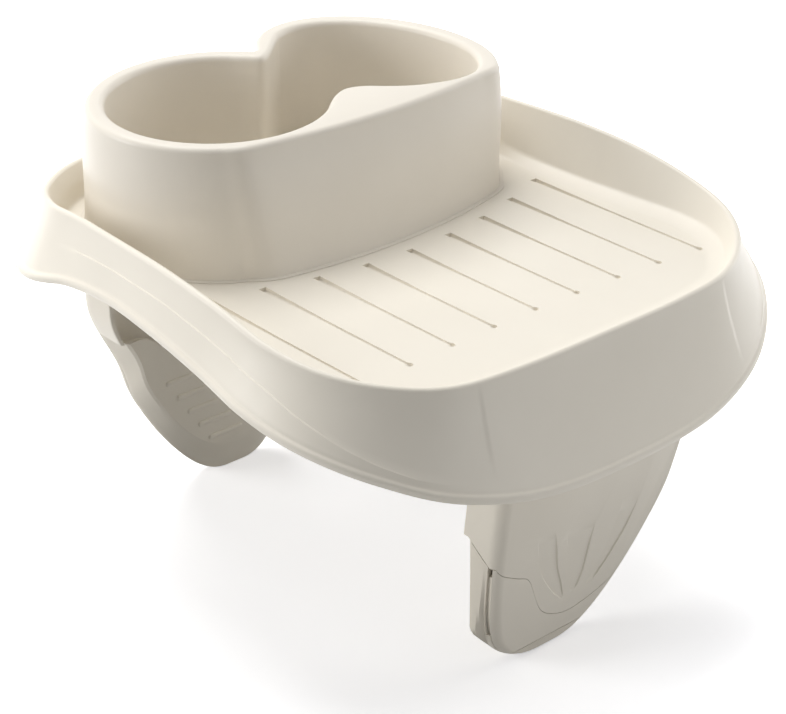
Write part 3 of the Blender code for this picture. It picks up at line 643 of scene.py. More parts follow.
# %% Groove tree
def groove_tree():
    """Cutters for the grooves: bars stretched between two curves, shaped along their length."""
    tree, given = new_tree("drain_grooves", GROOVES)
    do = partial(calc, tree)
    all_across = do("MULTIPLY", do("SUBTRACT", given["Count"], 1.0), given["Pitch"])
    start = add_node(tree, "ShaderNodeCombineXYZ", {"X": do("MULTIPLY", all_across, -0.5)})
    step = add_node(tree, "ShaderNodeCombineXYZ", {"X": given["Pitch"]})
    turn = (-math.pi / 2, 0, 0)
    bar = (GROOVE_SIDES, GROOVE_ROWS, turn)
    bars, here, groove, _ = bars_on_line(tree, given["Count"], start, step, *bar)
    square = do("MULTIPLY", groove["X"], groove["X"])
    front = do("SUBTRACT", given["Front"], do("DIVIDE", square, given["Front Bow"]))
    rear = do("ADD", given["Rear"], do("DIVIDE", square, given["Rear Bow"]))
    along = do("POWER", do("MAXIMUM", do("ADD", here["Y"], 0.5), 0.0), GROOVE_CROWDING)
    distance = do("MULTIPLY", do("SUBTRACT", rear, front), along)
    left_over = do("DIVIDE", do("SUBTRACT", 1.0, along), given["Taper"])
    near_cup = do("SUBTRACT", 1.0, do("MINIMUM", left_over, 1.0))

    def between(first, second):
        return do("MULTIPLY_ADD", do("SUBTRACT", second, first), near_cup, first)

    def squarer(value):
        size = do("POWER", do("ABSOLUTE", value), given["Square"])
        return do("MULTIPLY", size, do("SIGN", value))

    from_pit = do("SUBTRACT", distance, given["Pit Radius"])
    pit = do("MULTIPLY", given["Pit Radius"], given["Pit Radius"])
    pit = do("SUBTRACT", pit, do("MULTIPLY", from_pit, from_pit))
    pit = do("SQRT", do("MAXIMUM", pit, 0.0))
    half = do("MULTIPLY", between(given["Narrow"], given["Wide"]), 0.5)
    half = do("MAXIMUM", do("MINIMUM", half, do("ADD", distance, GROOVE_END_HALF)), pit)
    deep = do("MAXIMUM", between(given["Shallow"], given["Deep"]), pit)
    new_x = do("MULTIPLY_ADD", squarer(here["X"]), half, groove["X"])
    below = do("MULTIPLY", do("MINIMUM", squarer(here["Z"]), 0.0), deep)
    above = do("MULTIPLY", do("MAXIMUM", here["Z"], 0.0), given["Above"])
    new_z = do("ADD", given["Level"], do("ADD", below, above))
    end_tree(tree, bars, new_x, do("ADD", front, distance), new_z, given["Material"])
    return tree


grooves = run_tree("drain_groove_cutters", groove_tree(), {"Material": TRAY_PLASTIC})
print("groove cutters:", len(grooves.data.vertices), "points")

# %% [markdown]
# ## The cup block
# Two oval wells lean towards each other and join at an open waist. Each is an ellipse;
# the left one is the larger. One closed curve runs round both of them, through a soft
# notch at the rear and a blunt tab at the front. The outer wall follows the same two
# ellipses, a rim's width further out, and an arc closes it in front. Its base stands
# further out than its top, most of all at the front left corner, and ends in a thin
# foot line that covers the gap round its seat.

# %% Cup sizes
# middle x and y, long and short radius in millimetres, turn of the long axis in degrees
LEFT_WELL = (-40.3, 73.4, 53.9, 49.8, 27.7)
RIGHT_WELL = (55.1, 73.9, 51.5, 37.5, -74.7)
LEFT_WELL_SWEEP = (38.0, 316.0, 24)
RIGHT_WELL_SWEEP = (-97.0, 127.0, 19)
WELL_NOTCH = (10.5, 101.5)
WELL_TAB = ((3.5, 44.2), (11.5, 46.8), (20.5, 43.8), (29.8, 36.0), (39.7, 29.4))
WELL_STEPS = 6
NORMAL_PASSES = 40
BLOCK_MIDDLE_X = 12.0 * MM
BLOCK_MIDDLE_Y = 73.0 * MM
CUP_HEIGHT = 57.8 * MM
LEFT_RIM_WIDTH = 9.2 * MM
RIGHT_RIM_WIDTH = 10.0 * MM
CUP_RIM_RADIUS = 3.2 * MM
RIM_ROOM = 0.46
RIM_PASSES = 5
CUP_RIM_STEPS = 8
CUP_WALL = 2.5 * MM
CUP_INNER_DRAFT = 1.2 * MM
LEFT_DRAFT = 4.5 * MM
RIGHT_DRAFT = 4.3 * MM
CORNER_DRAFT = 6.5 * MM
CORNER_ANGLE = math.radians(212.0)
CORNER_SPREAD = math.radians(38.0)
DRAFT_FADE = (0.3, 0.9)
INNER_SHARES = (0.25, 0.5, 0.75)
OUTER_LEVELS = (0.85, 0.7, 0.55, 0.4, 0.25, 0.1)
FOOT_FADE = (0.1, 0.7)
NOTCH_ROUNDING = 4.0 * MM
CUP_SEAT_DEPTH = 1.0 * MM
FOOT_LEDGE = 2.2 * MM
FOOT_HEIGHT = 0.4 * MM
FOOT_ROUNDING = 0.1 * MM
FOOT_LIFT = 0.1 * MM
FOOT_OVERHANG = 0.8 * MM
FRONT_TOP = 12.0 * MM
FRONT_TOP_BOW = 780.0 * MM
FRONT_BASE = -2.8 * MM
FRONT_BASE_BOW = 600.0 * MM
FRONT_BASE_SHIFT = -8.0 * MM
FRONT_ARC_LEFT = -60.0 * MM
FRONT_ARC_RIGHT = 72.0 * MM
FRONT_ARC_FADE = 24.0 * MM
FRONT_ARC_REACH = 300.0 * MM
HALVINGS = 40


# %% The wells' outline
def well_point(well, degrees):
    """A point of a well's ellipse, in millimetres, in a direction that starts from +X."""
    middle_x, middle_y, long_radius, short_radius, turn_degrees = well
    turn = math.radians(turn_degrees)
    along = long_radius * math.cos(math.radians(degrees) - turn)
    across = short_radius * math.sin(math.radians(degrees) - turn)
    x = middle_x + along * math.cos(turn) - across * math.sin(turn)
    return x, middle_y + along * math.sin(turn) + across * math.cos(turn)


def well_sweep(well, sweep):
    """Points along a well, from one direction to another, in equal parts."""
    first, last, parts = sweep
    return [well_point(well, first + (last - first) * k / parts) for k in range(parts + 1)]


def well_outline():
    """From the rear notch round the left well, the blunt tab and the right well."""
    corners = [WELL_NOTCH, *well_sweep(LEFT_WELL, LEFT_WELL_SWEEP)]
    corners += [*WELL_TAB, *well_sweep(RIGHT_WELL, RIGHT_WELL_SWEEP)]
    return smooth_closed(in_metres(corners), WELL_STEPS)


def smoothed_normals(outline, passes):
    """Outward directions, evened out so that an offset doesn't cross itself in the notch."""
    normals = [outward(before, after) for before, _, after in with_neighbours(outline)]
    for _ in range(passes):
        threes = with_neighbours(normals)
        normals = [(before + 2 * here + after).normalized() for before, here, after in threes]
    return normals


WELL_OUTLINE = well_outline()
WELL_NORMALS = smoothed_normals(WELL_OUTLINE, NORMAL_PASSES)
WHOLE = [1.0] * len(WELL_OUTLINE)
print("wells' outline:", len(WELL_OUTLINE), "points")


def moved_ring(outline, normals, offset, z, shares):
    """An outline moved outwards by offset, or by a share of it at each point."""
    ring = []
    for (x, y), normal, share in zip(outline, normals, shares):
        ring.append((x + normal.x * offset * share, y + normal.y * offset * share, z))
    return ring


def well_ring(offset, z, shares=WHOLE):
    """The wells' outline moved outwards by offset."""
    return moved_ring(WELL_OUTLINE, WELL_NORMALS, offset, z, shares)


# %% The block's outer outline
def front_arc_y(x, level):
    """The front of the cup block: level 0 at its base, 1 at its top."""
    middle = FRONT_BASE + (FRONT_TOP - FRONT_BASE) * level
    base_curve, top_curve = 1.0 / FRONT_BASE_BOW, 1.0 / FRONT_TOP_BOW
    across = x - FRONT_BASE_SHIFT * (1.0 - level)
    return middle + across * across * (base_curve + (top_curve - base_curve) * level)


def ellipse_reach(well, growth, angle):
    """How far a ray from the middle of the block goes before it leaves a well grown all round."""
    middle_x, middle_y, long_radius, short_radius, turn_degrees = well
    turn_cos = math.cos(math.radians(turn_degrees))
    turn_sin = math.sin(math.radians(turn_degrees))

    def in_well(x, y):
        along, across = x * turn_cos + y * turn_sin, y * turn_cos - x * turn_sin
        return Vector((along / (long_radius * MM + growth), across / (short_radius * MM + growth)))

    ray = in_well(math.cos(angle), math.sin(angle))
    start = in_well(BLOCK_MIDDLE_X - middle_x * MM, BLOCK_MIDDLE_Y - middle_y * MM)
    a, b, c = ray.dot(ray), ray.dot(start), start.dot(start) - 1.0
    return (-b + math.sqrt(b * b - a * c)) / a


def corner_draft(angle):
    """How much further out the base stands at the block's front left corner."""
    share = max(0.0, 1.0 - abs(angle % (2 * math.pi) - CORNER_ANGLE) / CORNER_SPREAD)
    return CORNER_DRAFT * smooth_step(0.0, 1.0, share)


def outer_reach(angle, level):
    """How far the block's outer outline is from its middle, at a level."""
    side = (1.0 - smooth_step(*DRAFT_FADE, math.sin(angle))) * (1.0 - level)
    left_growth = LEFT_RIM_WIDTH + LEFT_DRAFT * side + corner_draft(angle) * (1.0 - level)
    right_growth = RIGHT_RIM_WIDTH + RIGHT_DRAFT * side
    left = ellipse_reach(LEFT_WELL, left_growth, angle)
    right = ellipse_reach(RIGHT_WELL, right_growth, angle)
    reach = 0.5 * (left + right + math.hypot(left - right, NOTCH_ROUNDING))
    if math.sin(angle) >= 0.0:
        return reach
    low, high = 0.0, FRONT_ARC_REACH
    for _ in range(HALVINGS):
        middle = (low + high) / 2
        x = BLOCK_MIDDLE_X + middle * math.cos(angle)
        if BLOCK_MIDDLE_Y + middle * math.sin(angle) > front_arc_y(x, level):
            low = middle
        else:
            high = middle
    x = BLOCK_MIDDLE_X + low * math.cos(angle)
    fade = smooth_step(0.0, FRONT_ARC_FADE, max(x - FRONT_ARC_RIGHT, FRONT_ARC_LEFT - x))
    return low + (reach - low) * fade


def block_ring(offset, z, level, shares=WHOLE):
    """The outer outline, with one point for each point of the wells' outline."""
    outline = []
    for x, y in WELL_OUTLINE:
        angle = math.atan2(y - BLOCK_MIDDLE_Y, x - BLOCK_MIDDLE_X)
        reach = outer_reach(angle, level)
        x, y = BLOCK_MIDDLE_X + reach * math.cos(angle), BLOCK_MIDDLE_Y + reach * math.sin(angle)
        outline.append((x, y))
    return moved_ring(outline, smoothed_normals(outline, NORMAL_PASSES), offset, z, shares)


def rim_shares():
    """How much of the rim's rounding has room at each point, such as in the notch."""
    shares = []
    for (x, y), normal, (far_x, far_y, _) in zip(WELL_OUTLINE, WELL_NORMALS, block_ring(0.0, 0.0, 1.0)):
        room = (far_x - x) * normal.x + (far_y - y) * normal.y
        shares.append(min(1.0, RIM_ROOM * room / CUP_RIM_RADIUS))
    for _ in range(RIM_PASSES):
        threes = with_neighbours(shares)
        shares = [min(here, (before + 2 * here + after) / 4) for before, here, after in threes]
    return shares


# %% Cup block
def make_cup_block():
    """One shell, open below: the well wall, the rounded rim, the outer wall and the hollow between."""
    base, top = DECK_TOP - CUP_SEAT_DEPTH + GAP, DECK_TOP + CUP_HEIGHT
    radius = CUP_RIM_RADIUS
    hollow_top = top - radius - CUP_WALL
    hollow_level = (hollow_top - DECK_TOP) / CUP_HEIGHT
    turns = [math.pi / 2 * k / CUP_RIM_STEPS for k in range(CUP_RIM_STEPS + 1)]
    shares = rim_shares()
    print("least rim rounding: %.1f mm" % (min(shares) * radius / MM))
    rings = [well_ring(-CUP_INNER_DRAFT, base)]
    for share in INNER_SHARES:
        z = base + share * (top - radius - base)
        rings.append(well_ring(-CUP_INNER_DRAFT * (1.0 - share), z))
    for angle in turns:
        height = top - radius + radius * math.sin(angle)
        rings.append(well_ring(radius * (1 - math.cos(angle)), height, shares))
    for angle in turns:
        height = top - radius + radius * math.cos(angle)
        rings.append(block_ring(-radius * (1 - math.sin(angle)), height, 1.0, shares))
    for level in OUTER_LEVELS:
        inset = FOOT_LEDGE * (1.0 - smooth_step(*FOOT_FADE, level))
        rings.append(block_ring(-inset, DECK_TOP + level * CUP_HEIGHT, level))
    foot = (
        (-FOOT_LEDGE, DECK_TOP + FOOT_HEIGHT + FOOT_ROUNDING),
        (-FOOT_ROUNDING, DECK_TOP + FOOT_HEIGHT),
        (0.0, DECK_TOP + FOOT_HEIGHT - FOOT_ROUNDING),
        (0.0, DECK_TOP + FOOT_LIFT),
        (-FOOT_OVERHANG, DECK_TOP + FOOT_LIFT),
        (-FOOT_OVERHANG, base),
        (-CUP_WALL, base),
    )
    rings += [block_ring(offset, z, 0.0) for offset, z in foot]
    rings.append(block_ring(-CUP_WALL, hollow_top, hollow_level))
    rings.append(well_ring(CUP_WALL, hollow_top))
    rings.append(well_ring(CUP_WALL - CUP_INNER_DRAFT, base))
    return loft("cup_block_moulding", rings, capped=False)


def make_seat_cutter():
    """The shallow channel in the deck that the base of the cup block stands in."""
    low, high = DECK_TOP - CUP_SEAT_DEPTH, DECK_TOP + CUTTER_ABOVE
    rings = [
        well_ring(-CUP_INNER_DRAFT - GAP, low),
        well_ring(-CUP_INNER_DRAFT - GAP, high),
        block_ring(GAP - FOOT_OVERHANG, high, 0.0),
        block_ring(GAP - FOOT_OVERHANG, low, 0.0),
    ]
    return loft("seat_cutter", rings, capped=False)


finish_piece(make_cup_block(), "tray", "cup_block", CUP_SHADED_PLASTIC)

# %% [markdown]
# ## The legs
# Each leg is three mouldings. The upper shell is the outer panel above a curved seam,
# the lower shell is the panel below it, and the grip plate is the inner face with five
# ribs and the tip that the leg stands on. All three are cut from the same outline. The
# front leg is drawn in x and z, with its depth counted inwards from the outer face. The
# rear leg is the same set turned half round, a little narrower below. Three shallow
# leaves fan out on the upper shell. They are cut from the mesh and not drawn as bump,
# so that the exported shape has them too.

# %% Leg sizes
LEG_MID_Y = 5.0 * MM
LEG_HALF_FOOT_SPAN = 110.0 * MM
LEG_LEAN = 0.09
UPPER_DEPTH = 21.8 * MM
GRIP_DEPTH = 12.8 * MM
GRIP_DEPTH_HEIGHT = 25.0 * MM
GRIP_DEPTH_SLOPE = 0.135
GRIP_DEPTH_MOST = 21.2 * MM
LEG_WALL = 2.4 * MM
LEG_LEFT = -38.5 * MM
LEG_RIGHT = 82.0 * MM
LEG_MIDDLE_X = 22.0 * MM
LEG_TOP = DECK_TOP - DECK_WALL - GAP
LEG_OUTLINE = (
    (-38.5, 161.2), (-38.5, 110.0), (-38.5, 76.0), (-38.3, 60.0), (-37.8, 48.0), (-36.8, 34.0),
    (-35.2, 24.0), (-32.4, 15.5), (-28.2, 9.3), (-23.5, 5.1), (-18.3, 2.4), (-13.0, 0.8), (-6.0, 0.0),
    (1.0, 0.0), (8.0, 0.0), (17.0, 1.6), (25.5, 5.5), (34.0, 11.5), (42.5, 19.5), (52.5, 31.0),
    (61.5, 43.5), (68.5, 54.5), (73.0, 64.5), (77.0, 80.0), (80.0, 96.0), (82.0, 112.0),
    (82.0, 135.0), (82.0, 161.2),
)
LEG_OUTLINE_STEPS = 5
REAR_NARROW_LEFT = 0.78
REAR_NARROW_RIGHT = 0.87
REAR_NARROW_BELOW = 68.0 * MM
REAR_WIDE_ABOVE = 112.0 * MM
REAR_FOOT_REACH = 7.0 * MM
EDGE_DEPTH = 6.0
EDGE_INSET = 2.2
EDGE_LEFT = 3.8
EDGE_LIFT = 1.4
EDGE_STEPS = 10
HOLLOW_START = 3.0
# share of the depth behind the round edge, inset, lift of the foot, and squareness of the corner
GRIP_SECTION = (
    (0.12, 0.0, 1.5, 0.06),
    (0.30, 0.0, 4.5, 0.18),
    (0.50, 0.0, 8.0, 0.30),
    (0.72, 0.0, 11.5, 0.40),
    (0.90, 0.3, 14.3, 0.45),
    (1.00, 1.3, 16.5, 0.45),
)
# share of the depth behind the round edge, and inset
SHELL_SECTION = ((0.3, 0.0), (0.95, 0.0), (0.985, 0.25), (1.0, 0.8))
GRIP_SQUARE_FROM = -5.0 * MM
SHELL_DEPTH = 3.0 * MM
SLOT_END = 4.6 * MM
SLOT_TOP = 51.0 * MM
SLOT_LEFT_TOP = 57.8 * MM
SLOT_LEFT_END = -22.0 * MM
LIP_DEPTH = 1.6 * MM
LIP_RISE = 7.0 * MM
LIP_DROP = 6.0 * MM
LIP_LEFT = -32.0 * MM
TONGUE_NEAR = 1.2 * MM
TONGUE_THICK = 1.4 * MM
TONGUE_TOP = 53.0 * MM
TONGUE_RIGHT = -12.0 * MM
TONGUE_FAR = SLOT_END + 2.0 * MM
TONGUE_LOW = 16.0 * MM
TONGUE_MARGIN = 1.0 * MM
TIP_HEIGHT = 5.5 * MM
CUT_LEFT = -60.0 * MM
CUT_RIGHT = 110.0 * MM
CUT_LOW = -20.0 * MM
CUT_HIGH = DECK_TOP + 20.0 * MM
CUT_FAR = UPPER_DEPTH + 10.0 * MM
LEG_SHARP_DEGREES = 16.0
SEAM_OUTLINE = (
    (-60.0, 59.0), (-38.5, 58.0), (-36.0, 56.4), (-33.0, 53.6), (-24.0, 48.6), (-17.0, 45.0),
    (-13.2, 38.6), (-8.0, 27.0), (-3.5, 21.0), (4.5, 16.5), (14.0, 14.5), (27.0, 16.5),
    (39.0, 20.5), (48.0, 28.0), (56.0, 38.5), (64.0, 53.0), (71.0, 70.0), (76.0, 84.0),
    (110.0, 110.0),
)
SLOT_FLOOR = (
    (-60.0, 20.0), (-30.0, 19.5), (-22.0, 17.0), (-14.0, 14.5), (-5.0, 12.0), (4.5, 9.5), (14.0, 7.5),
    (27.0, 9.5), (39.0, 13.5), (48.0, 21.0), (56.0, 31.5), (64.0, 46.0), (66.5, 50.4),
    (110.0, 50.4),
)
GRIP_OUTLINE = (
    (-60.0, 58.0), (-30.0, 58.0), (-15.0, 59.0), (0.0, 61.5), (15.0, 65.5), (28.0, 70.0),
    (38.0, 75.5), (46.0, 80.5), (53.0, 84.8), (58.0, 88.5), (61.8, 92.9), (67.0, 95.4),
    (73.5, 95.6), (81.0, 96.2), (110.0, 103.0),
)
# how much higher the edge is at the inner face than at the slot
GRIP_INNER_RISE = (
    (-60.0, 10.0), (-30.0, 9.5), (-15.0, 8.0), (0.0, 5.5), (15.0, 2.5), (28.0, 0.0), (110.0, 0.0),
)
GRIP_INNER_DEPTH = 18.4 * MM
PETALS = (
    (
        ((7.2, 23.3), (0.6, 30.2), (-7.3, 41.7), (-11.1, 51.9), (-14.2, 66.0)),
        ((8.7, 24.3), (6.5, 32.0), (2.4, 43.0), (0.2, 53.5), (-2.6, 65.0)),
    ),
    (
        ((13.2, 24.5), (11.6, 30.0), (9.5, 37.5), (7.3, 49.0), (5.0, 61.5)),
        ((16.3, 25.3), (18.6, 29.2), (20.4, 35.0), (22.2, 48.0), (24.4, 61.0)),
    ),
    (
        ((22.6, 24.8), (27.5, 30.5), (32.0, 38.0), (37.0, 49.5), (41.0, 63.5)),
        ((27.9, 25.2), (33.4, 30.6), (39.6, 38.0), (46.8, 48.2), (53.1, 62.8)),
    ),
)
PETAL_DEEP = 0.6 * MM
PETAL_LEAST = 0.02 * MM
PETAL_SIDE = 0.5 * MM
PETAL_SIDE_SHARE = 0.3
PETAL_MIDDLE = 0.7
PETAL_OUT = -1.0 * MM
PETAL_STEPS = 8
PETAL_ENDS = (-0.02, 0.14, 0.72, 1.0)
# Start and Lowest are the first rib's place. Each next one is Shift along, Pitch up and Shorter.
RIBS = {
    "Count": 5, "Lowest": 22.3 * MM, "Pitch": 10.35 * MM, "Start": 0.6 * MM, "Shift": 8.0 * MM,
    "Length": 21.6 * MM, "Shorter": 0.95 * MM, "Height": 3.2 * MM, "Proud": 0.9 * MM,
    "Sunk": 1.5 * MM, "Material": None,
}
RIB_SIDES = 20
RIB_ROWS = 24
RIB_END_FULLNESS = 1.02
SOCKET_DEPTH = 14.0 * MM
SOCKET_WALL = 2.5 * MM
SOCKET_MARGIN = 5.0 * MM


# %% Leg outlines
def leg_y(depth, z):
    """Where a depth inwards from the leg's outer face lies, for the front leg."""
    return LEG_MID_Y - LEG_HALF_FOOT_SPAN - LEG_LEAN * z + depth


def leg_corner(x, z, turned):
    """A corner of the leg's outline. The rear leg is a little narrower below."""
    if turned:
        narrow = REAR_NARROW_LEFT if x < 0.0 else REAR_NARROW_RIGHT
        x *= narrow + (1.0 - narrow) * smooth_step(REAR_NARROW_BELOW, REAR_WIDE_ABOVE, z)
    return x, z


def leg_outline(turned):
    """The leg's outline, from its upper left corner round the foot to its upper right corner."""
    points = smooth_open(in_metres(LEG_OUTLINE), LEG_OUTLINE_STEPS)
    return [leg_corner(min(x, LEG_RIGHT), max(z, 0.0), turned) for x, z in points]


def grip_depth(z):
    """The grip plate's depth, which grows with its height."""
    return min(GRIP_DEPTH_MOST, GRIP_DEPTH + GRIP_DEPTH_SLOPE * (z - GRIP_DEPTH_HEIGHT))


def shell_depth(_):
    """The shells' depth, which is the same at every height."""
    return UPPER_DEPTH


def leg_ring(turned, inset, lift, roof, square=0.0, left=0.0):
    """The outline drawn in by inset, and by left more at its left. Its foot is raised and squared."""
    half = (LEG_RIGHT - LEG_LEFT) / 2
    ring = []
    for x, z in leg_outline(turned):
        if x < GRIP_SQUARE_FROM and square > 0.0:
            furthest = leg_corner(LEG_LEFT, z, turned)[0]
            x = max(furthest, GRIP_SQUARE_FROM + (x - GRIP_SQUARE_FROM) * (1.0 + square))
        drawn = inset + left if x < LEG_MIDDLE_X else inset
        new_x = LEG_MIDDLE_X + (x - LEG_MIDDLE_X) * (1.0 - drawn / half)
        ring.append((new_x, lift + z * (LEG_TOP - roof - lift) / LEG_TOP))
    return ring


def line(outline, shift, turned, steps=4):
    """A smooth line of points moved up by shift."""
    corners = [leg_corner(x, z, turned) for x, z in in_metres(outline)]
    return [(x, z + shift) for x, z in smooth_open(corners, steps)]


def under_line(edge, height):
    """All that lies below an edge, down to a height."""
    return [(edge[0][0], height), (edge[-1][0], height)] + edge[::-1]


def over_line(edge, height):
    """All that lies above an edge, up to a height."""
    return edge + [(edge[-1][0], height), (edge[0][0], height)]


def at_depth(outline, depth):
    """An outline in x and z, laid at a depth in the leg."""
    return [(x, leg_y(depth, z), z) for x, z in outline]


def prism(name, outline, near, far):
    """An outline in x and z, given a depth range in the leg."""
    return loft(name, [at_depth(outline, near), at_depth(outline, far)])


def slab(name, low, high, near, far, left=CUT_LEFT, right=CUT_RIGHT):
    """A block from side to side of the leg, or between two given sides."""
    return prism(name, [(left, low), (right, low), (right, high), (left, high)], near, far)


# %% Leg moulds
def edge_rows():
    """The round outer edge of shells and tip: depth, share, inset, lift, squareness, left inset."""
    rows = []
    for step in range(EDGE_STEPS + 1):
        angle = math.pi / 2 * step / EDGE_STEPS
        away = 1.0 - math.sin(angle)
        depth = EDGE_DEPTH * (1.0 - math.cos(angle))
        rows.append((depth, 0.0, EDGE_INSET * away, EDGE_LIFT * away, 0.0, EDGE_LEFT * away))
    return rows


def shell_section():
    """The round edge and the straight side of a shell."""
    rows = [(EDGE_DEPTH, share, inset, 0.0, 0.0, 0.0) for share, inset in SHELL_SECTION]
    return edge_rows() + rows


def leg_mould(name, turned, section, depth_at, wall=0.0):
    """A solid leg with a given section, or the space a wall's thickness inside it."""
    rings = []
    for front, share, inset, lift, square, left in section:
        outline = leg_ring(turned, wall + inset * MM, wall + lift * MM, wall, square, left * MM)
        ring = []
        for x, z in outline:
            depth = front * MM + share * (depth_at(z) - wall - EDGE_DEPTH * MM)
            ring.append((x, leg_y(depth, z), z))
        rings.append(ring)
    return loft(name, rings)


def grip_edge(name, shift, turned, height):
    """All that lies below or above the plate's upper edge, which rises from the slot to the inner face."""
    near = line(GRIP_OUTLINE, shift, turned)
    inner = [(x, z + between_marks(GRIP_INNER_RISE, x / MM) * MM) for x, z in near]
    rows = ((near, -CUT_FAR), (near, SLOT_END), (inner, GRIP_INNER_DEPTH), (inner, CUT_FAR))
    return loft(name, [at_depth(under_line(edge, height), depth) for edge, depth in rows])


# %% Petals
def make_petal(name, sides):
    """What a shallow leaf takes off the front of the upper shell. It fades out at both ends."""
    left, right = [smooth_open(in_metres(side), PETAL_STEPS) for side in sides]
    rings = []
    for k, (first, last) in enumerate(zip(left, right)):
        deep = PETAL_DEEP * swell(PETAL_ENDS, k / (len(left) - 1)) + PETAL_LEAST
        first, last = Vector(first), Vector(last)
        across = last - first
        inner = across * min(PETAL_SIDE_SHARE, PETAL_SIDE / across.length)
        middle = ((first + last) / 2, PETAL_MIDDLE * deep)
        rows = ((first, PETAL_OUT), (first, 0.0), (first + inner, deep), middle)
        rows += ((last - inner, deep), (last, 0.0), (last, PETAL_OUT))
        rings.append([(point.x, leg_y(depth, point.y), point.y) for point, depth in rows])
    return loft(name, rings)


# %% Upper shell
def slot_cut():
    """What the upper shell leaves open for the slot. It reaches higher at the left side."""
    outline = [(CUT_LEFT, CUT_LOW), (CUT_RIGHT, CUT_LOW), (CUT_RIGHT, SLOT_TOP)]
    outline += [(SLOT_LEFT_END, SLOT_TOP), (SLOT_LEFT_END, SLOT_LEFT_TOP), (CUT_LEFT, SLOT_LEFT_TOP)]
    return prism("below_slot", outline, SHELL_DEPTH - GAP, SLOT_END + GAP)


def make_lip(turned):
    """The lip of the upper shell that stands behind the seam."""
    seam = line(SEAM_OUTLINE, GAP, turned)
    below = [point for point in line(SEAM_OUTLINE, -LIP_DROP, turned) if point[0] > LIP_LEFT]
    above = [point for point in line(SEAM_OUTLINE, LIP_RISE, turned) if point[0] > LIP_LEFT]
    inside = leg_ring(turned, LEG_WALL - GAP, LEG_WALL, LEG_WALL)
    lip = prism("lip", inside, LEG_WALL - 2 * GAP, SHELL_DEPTH + GAP + LIP_DEPTH)
    region = prism("lip_region", below + above[::-1], -LEG_WALL, UPPER_DEPTH)
    step = prism("lip_step", under_line(seam, CUT_LOW), -LEG_WALL, SHELL_DEPTH + GAP)
    cut_or_join(lip, [region], "INTERSECT")
    return cut_or_join(lip, [step], "DIFFERENCE")


def make_upper_shell(turned):
    """The panel above the seam: a mould with its petals, hollow, seam, slot and grip edge cut."""
    seam = line(SEAM_OUTLINE, 0.0, turned)
    shell = leg_mould("upper_shell", turned, shell_section(), shell_depth)
    cut_or_join(shell, [make_petal("petal", sides) for sides in PETALS], "DIFFERENCE")
    below_grip = grip_edge("below_grip", GAP, turned, CUT_LOW)
    behind = slab("behind_slot", 2 * CUT_LOW, DECK_TOP, SLOT_END, 2 * CUT_FAR)
    cuts = [
        prism("hollow", leg_ring(turned, LEG_WALL, LEG_WALL, LEG_WALL), LEG_WALL, CUT_FAR),
        prism("below_seam", under_line(seam, CUT_LOW), -CUT_FAR, SHELL_DEPTH + GAP),
        slot_cut(),
        cut_or_join(below_grip, [behind], "INTERSECT"),
    ]
    cut_or_join(shell, cuts, "DIFFERENCE")
    return cut_or_join(shell, [make_lip(turned)], "UNION")


# %% Lower shell
def make_lower_shell(turned):
    """The panel below the seam, cut off above the tip."""
    seam = line(SEAM_OUTLINE, -GAP, turned)
    shell = leg_mould("lower_shell", turned, shell_section(), shell_depth)
    cuts = [
        prism("hollow", leg_ring(turned, LEG_WALL, LEG_WALL, LEG_WALL), LEG_WALL - GAP, CUT_FAR),
        slab("behind", CUT_LOW, CUT_HIGH, SHELL_DEPTH, CUT_FAR),
        prism("above_seam", over_line(seam, CUT_HIGH), -CUT_FAR, CUT_FAR),
        slab("tip", CUT_LOW, TIP_HEIGHT + GAP, -CUT_FAR, CUT_FAR),
    ]
    return cut_or_join(shell, cuts, "DIFFERENCE")


# %% [markdown]
# The five ribs on the grip plate are the same level bar, each a little higher, further
# along and shorter than the last, so a second small tree makes them. The bar is a lying
# cylinder whose ends are rounded by moving its points.


# %% Rib tree
def rib_tree():
    """Bars with round ends, each one step up and along and a little shorter than the last."""
    tree, given = new_tree("grip_ribs", RIBS)
    do = partial(calc, tree)
    start = add_node(tree, "ShaderNodeCombineXYZ", {"X": given["Start"], "Z": given["Lowest"]})
    step = add_node(tree, "ShaderNodeCombineXYZ", {"X": given["Shift"], "Z": given["Pitch"]})
    turn = (0, math.pi / 2, 0)
    bar = (RIB_SIDES, RIB_ROWS, turn)
    bars, here, rib, number = bars_on_line(tree, given["Count"], start, step, *bar)
    length = do("SUBTRACT", given["Length"], do("MULTIPLY", given["Shorter"], number))
    share = do("ADD", here["X"], 0.5)
    new_x = do("MULTIPLY_ADD", share, length, rib["X"])
    from_end = do("MINIMUM", share, do("SUBTRACT", 1.0, share))
    from_end = do("DIVIDE", do("MULTIPLY", from_end, length), given["Height"])
    rest = do("SUBTRACT", 1.0, do("MINIMUM", do("MULTIPLY", from_end, 2.0), 1.0))
    fullness = do("SQRT", do("SUBTRACT", RIB_END_FULLNESS, do("MULTIPLY", rest, rest)))
    half = do("MULTIPLY", do("MULTIPLY", given["Height"], 0.5), fullness)
    middle = do("ADD", rib["Z"], do("MULTIPLY", given["Height"], 0.5))
    new_z = do("MULTIPLY_ADD", here["Z"], half, middle)
    out = do("MULTIPLY", do("MULTIPLY", do("MAXIMUM", here["Y"], 0.0), given["Proud"]), fullness)
    sunk = do("MULTIPLY", do("MINIMUM", here["Y"], 0.0), given["Sunk"])
    end_tree(tree, bars, new_x, do("ADD", out, sunk), new_z, given["Material"])
    return tree


RIB_TREE = rib_tree()


def make_ribs():
    """The ribs, laid on the leaning face of the plate."""
    ribs = run_tree("grip_ribs", RIB_TREE, {"Material": GRIP_PLASTIC})
    for vertex in ribs.data.vertices:
        z = vertex.co.z
        vertex.co.y = leg_y(grip_depth(z) + vertex.co.y, z)
    return ribs


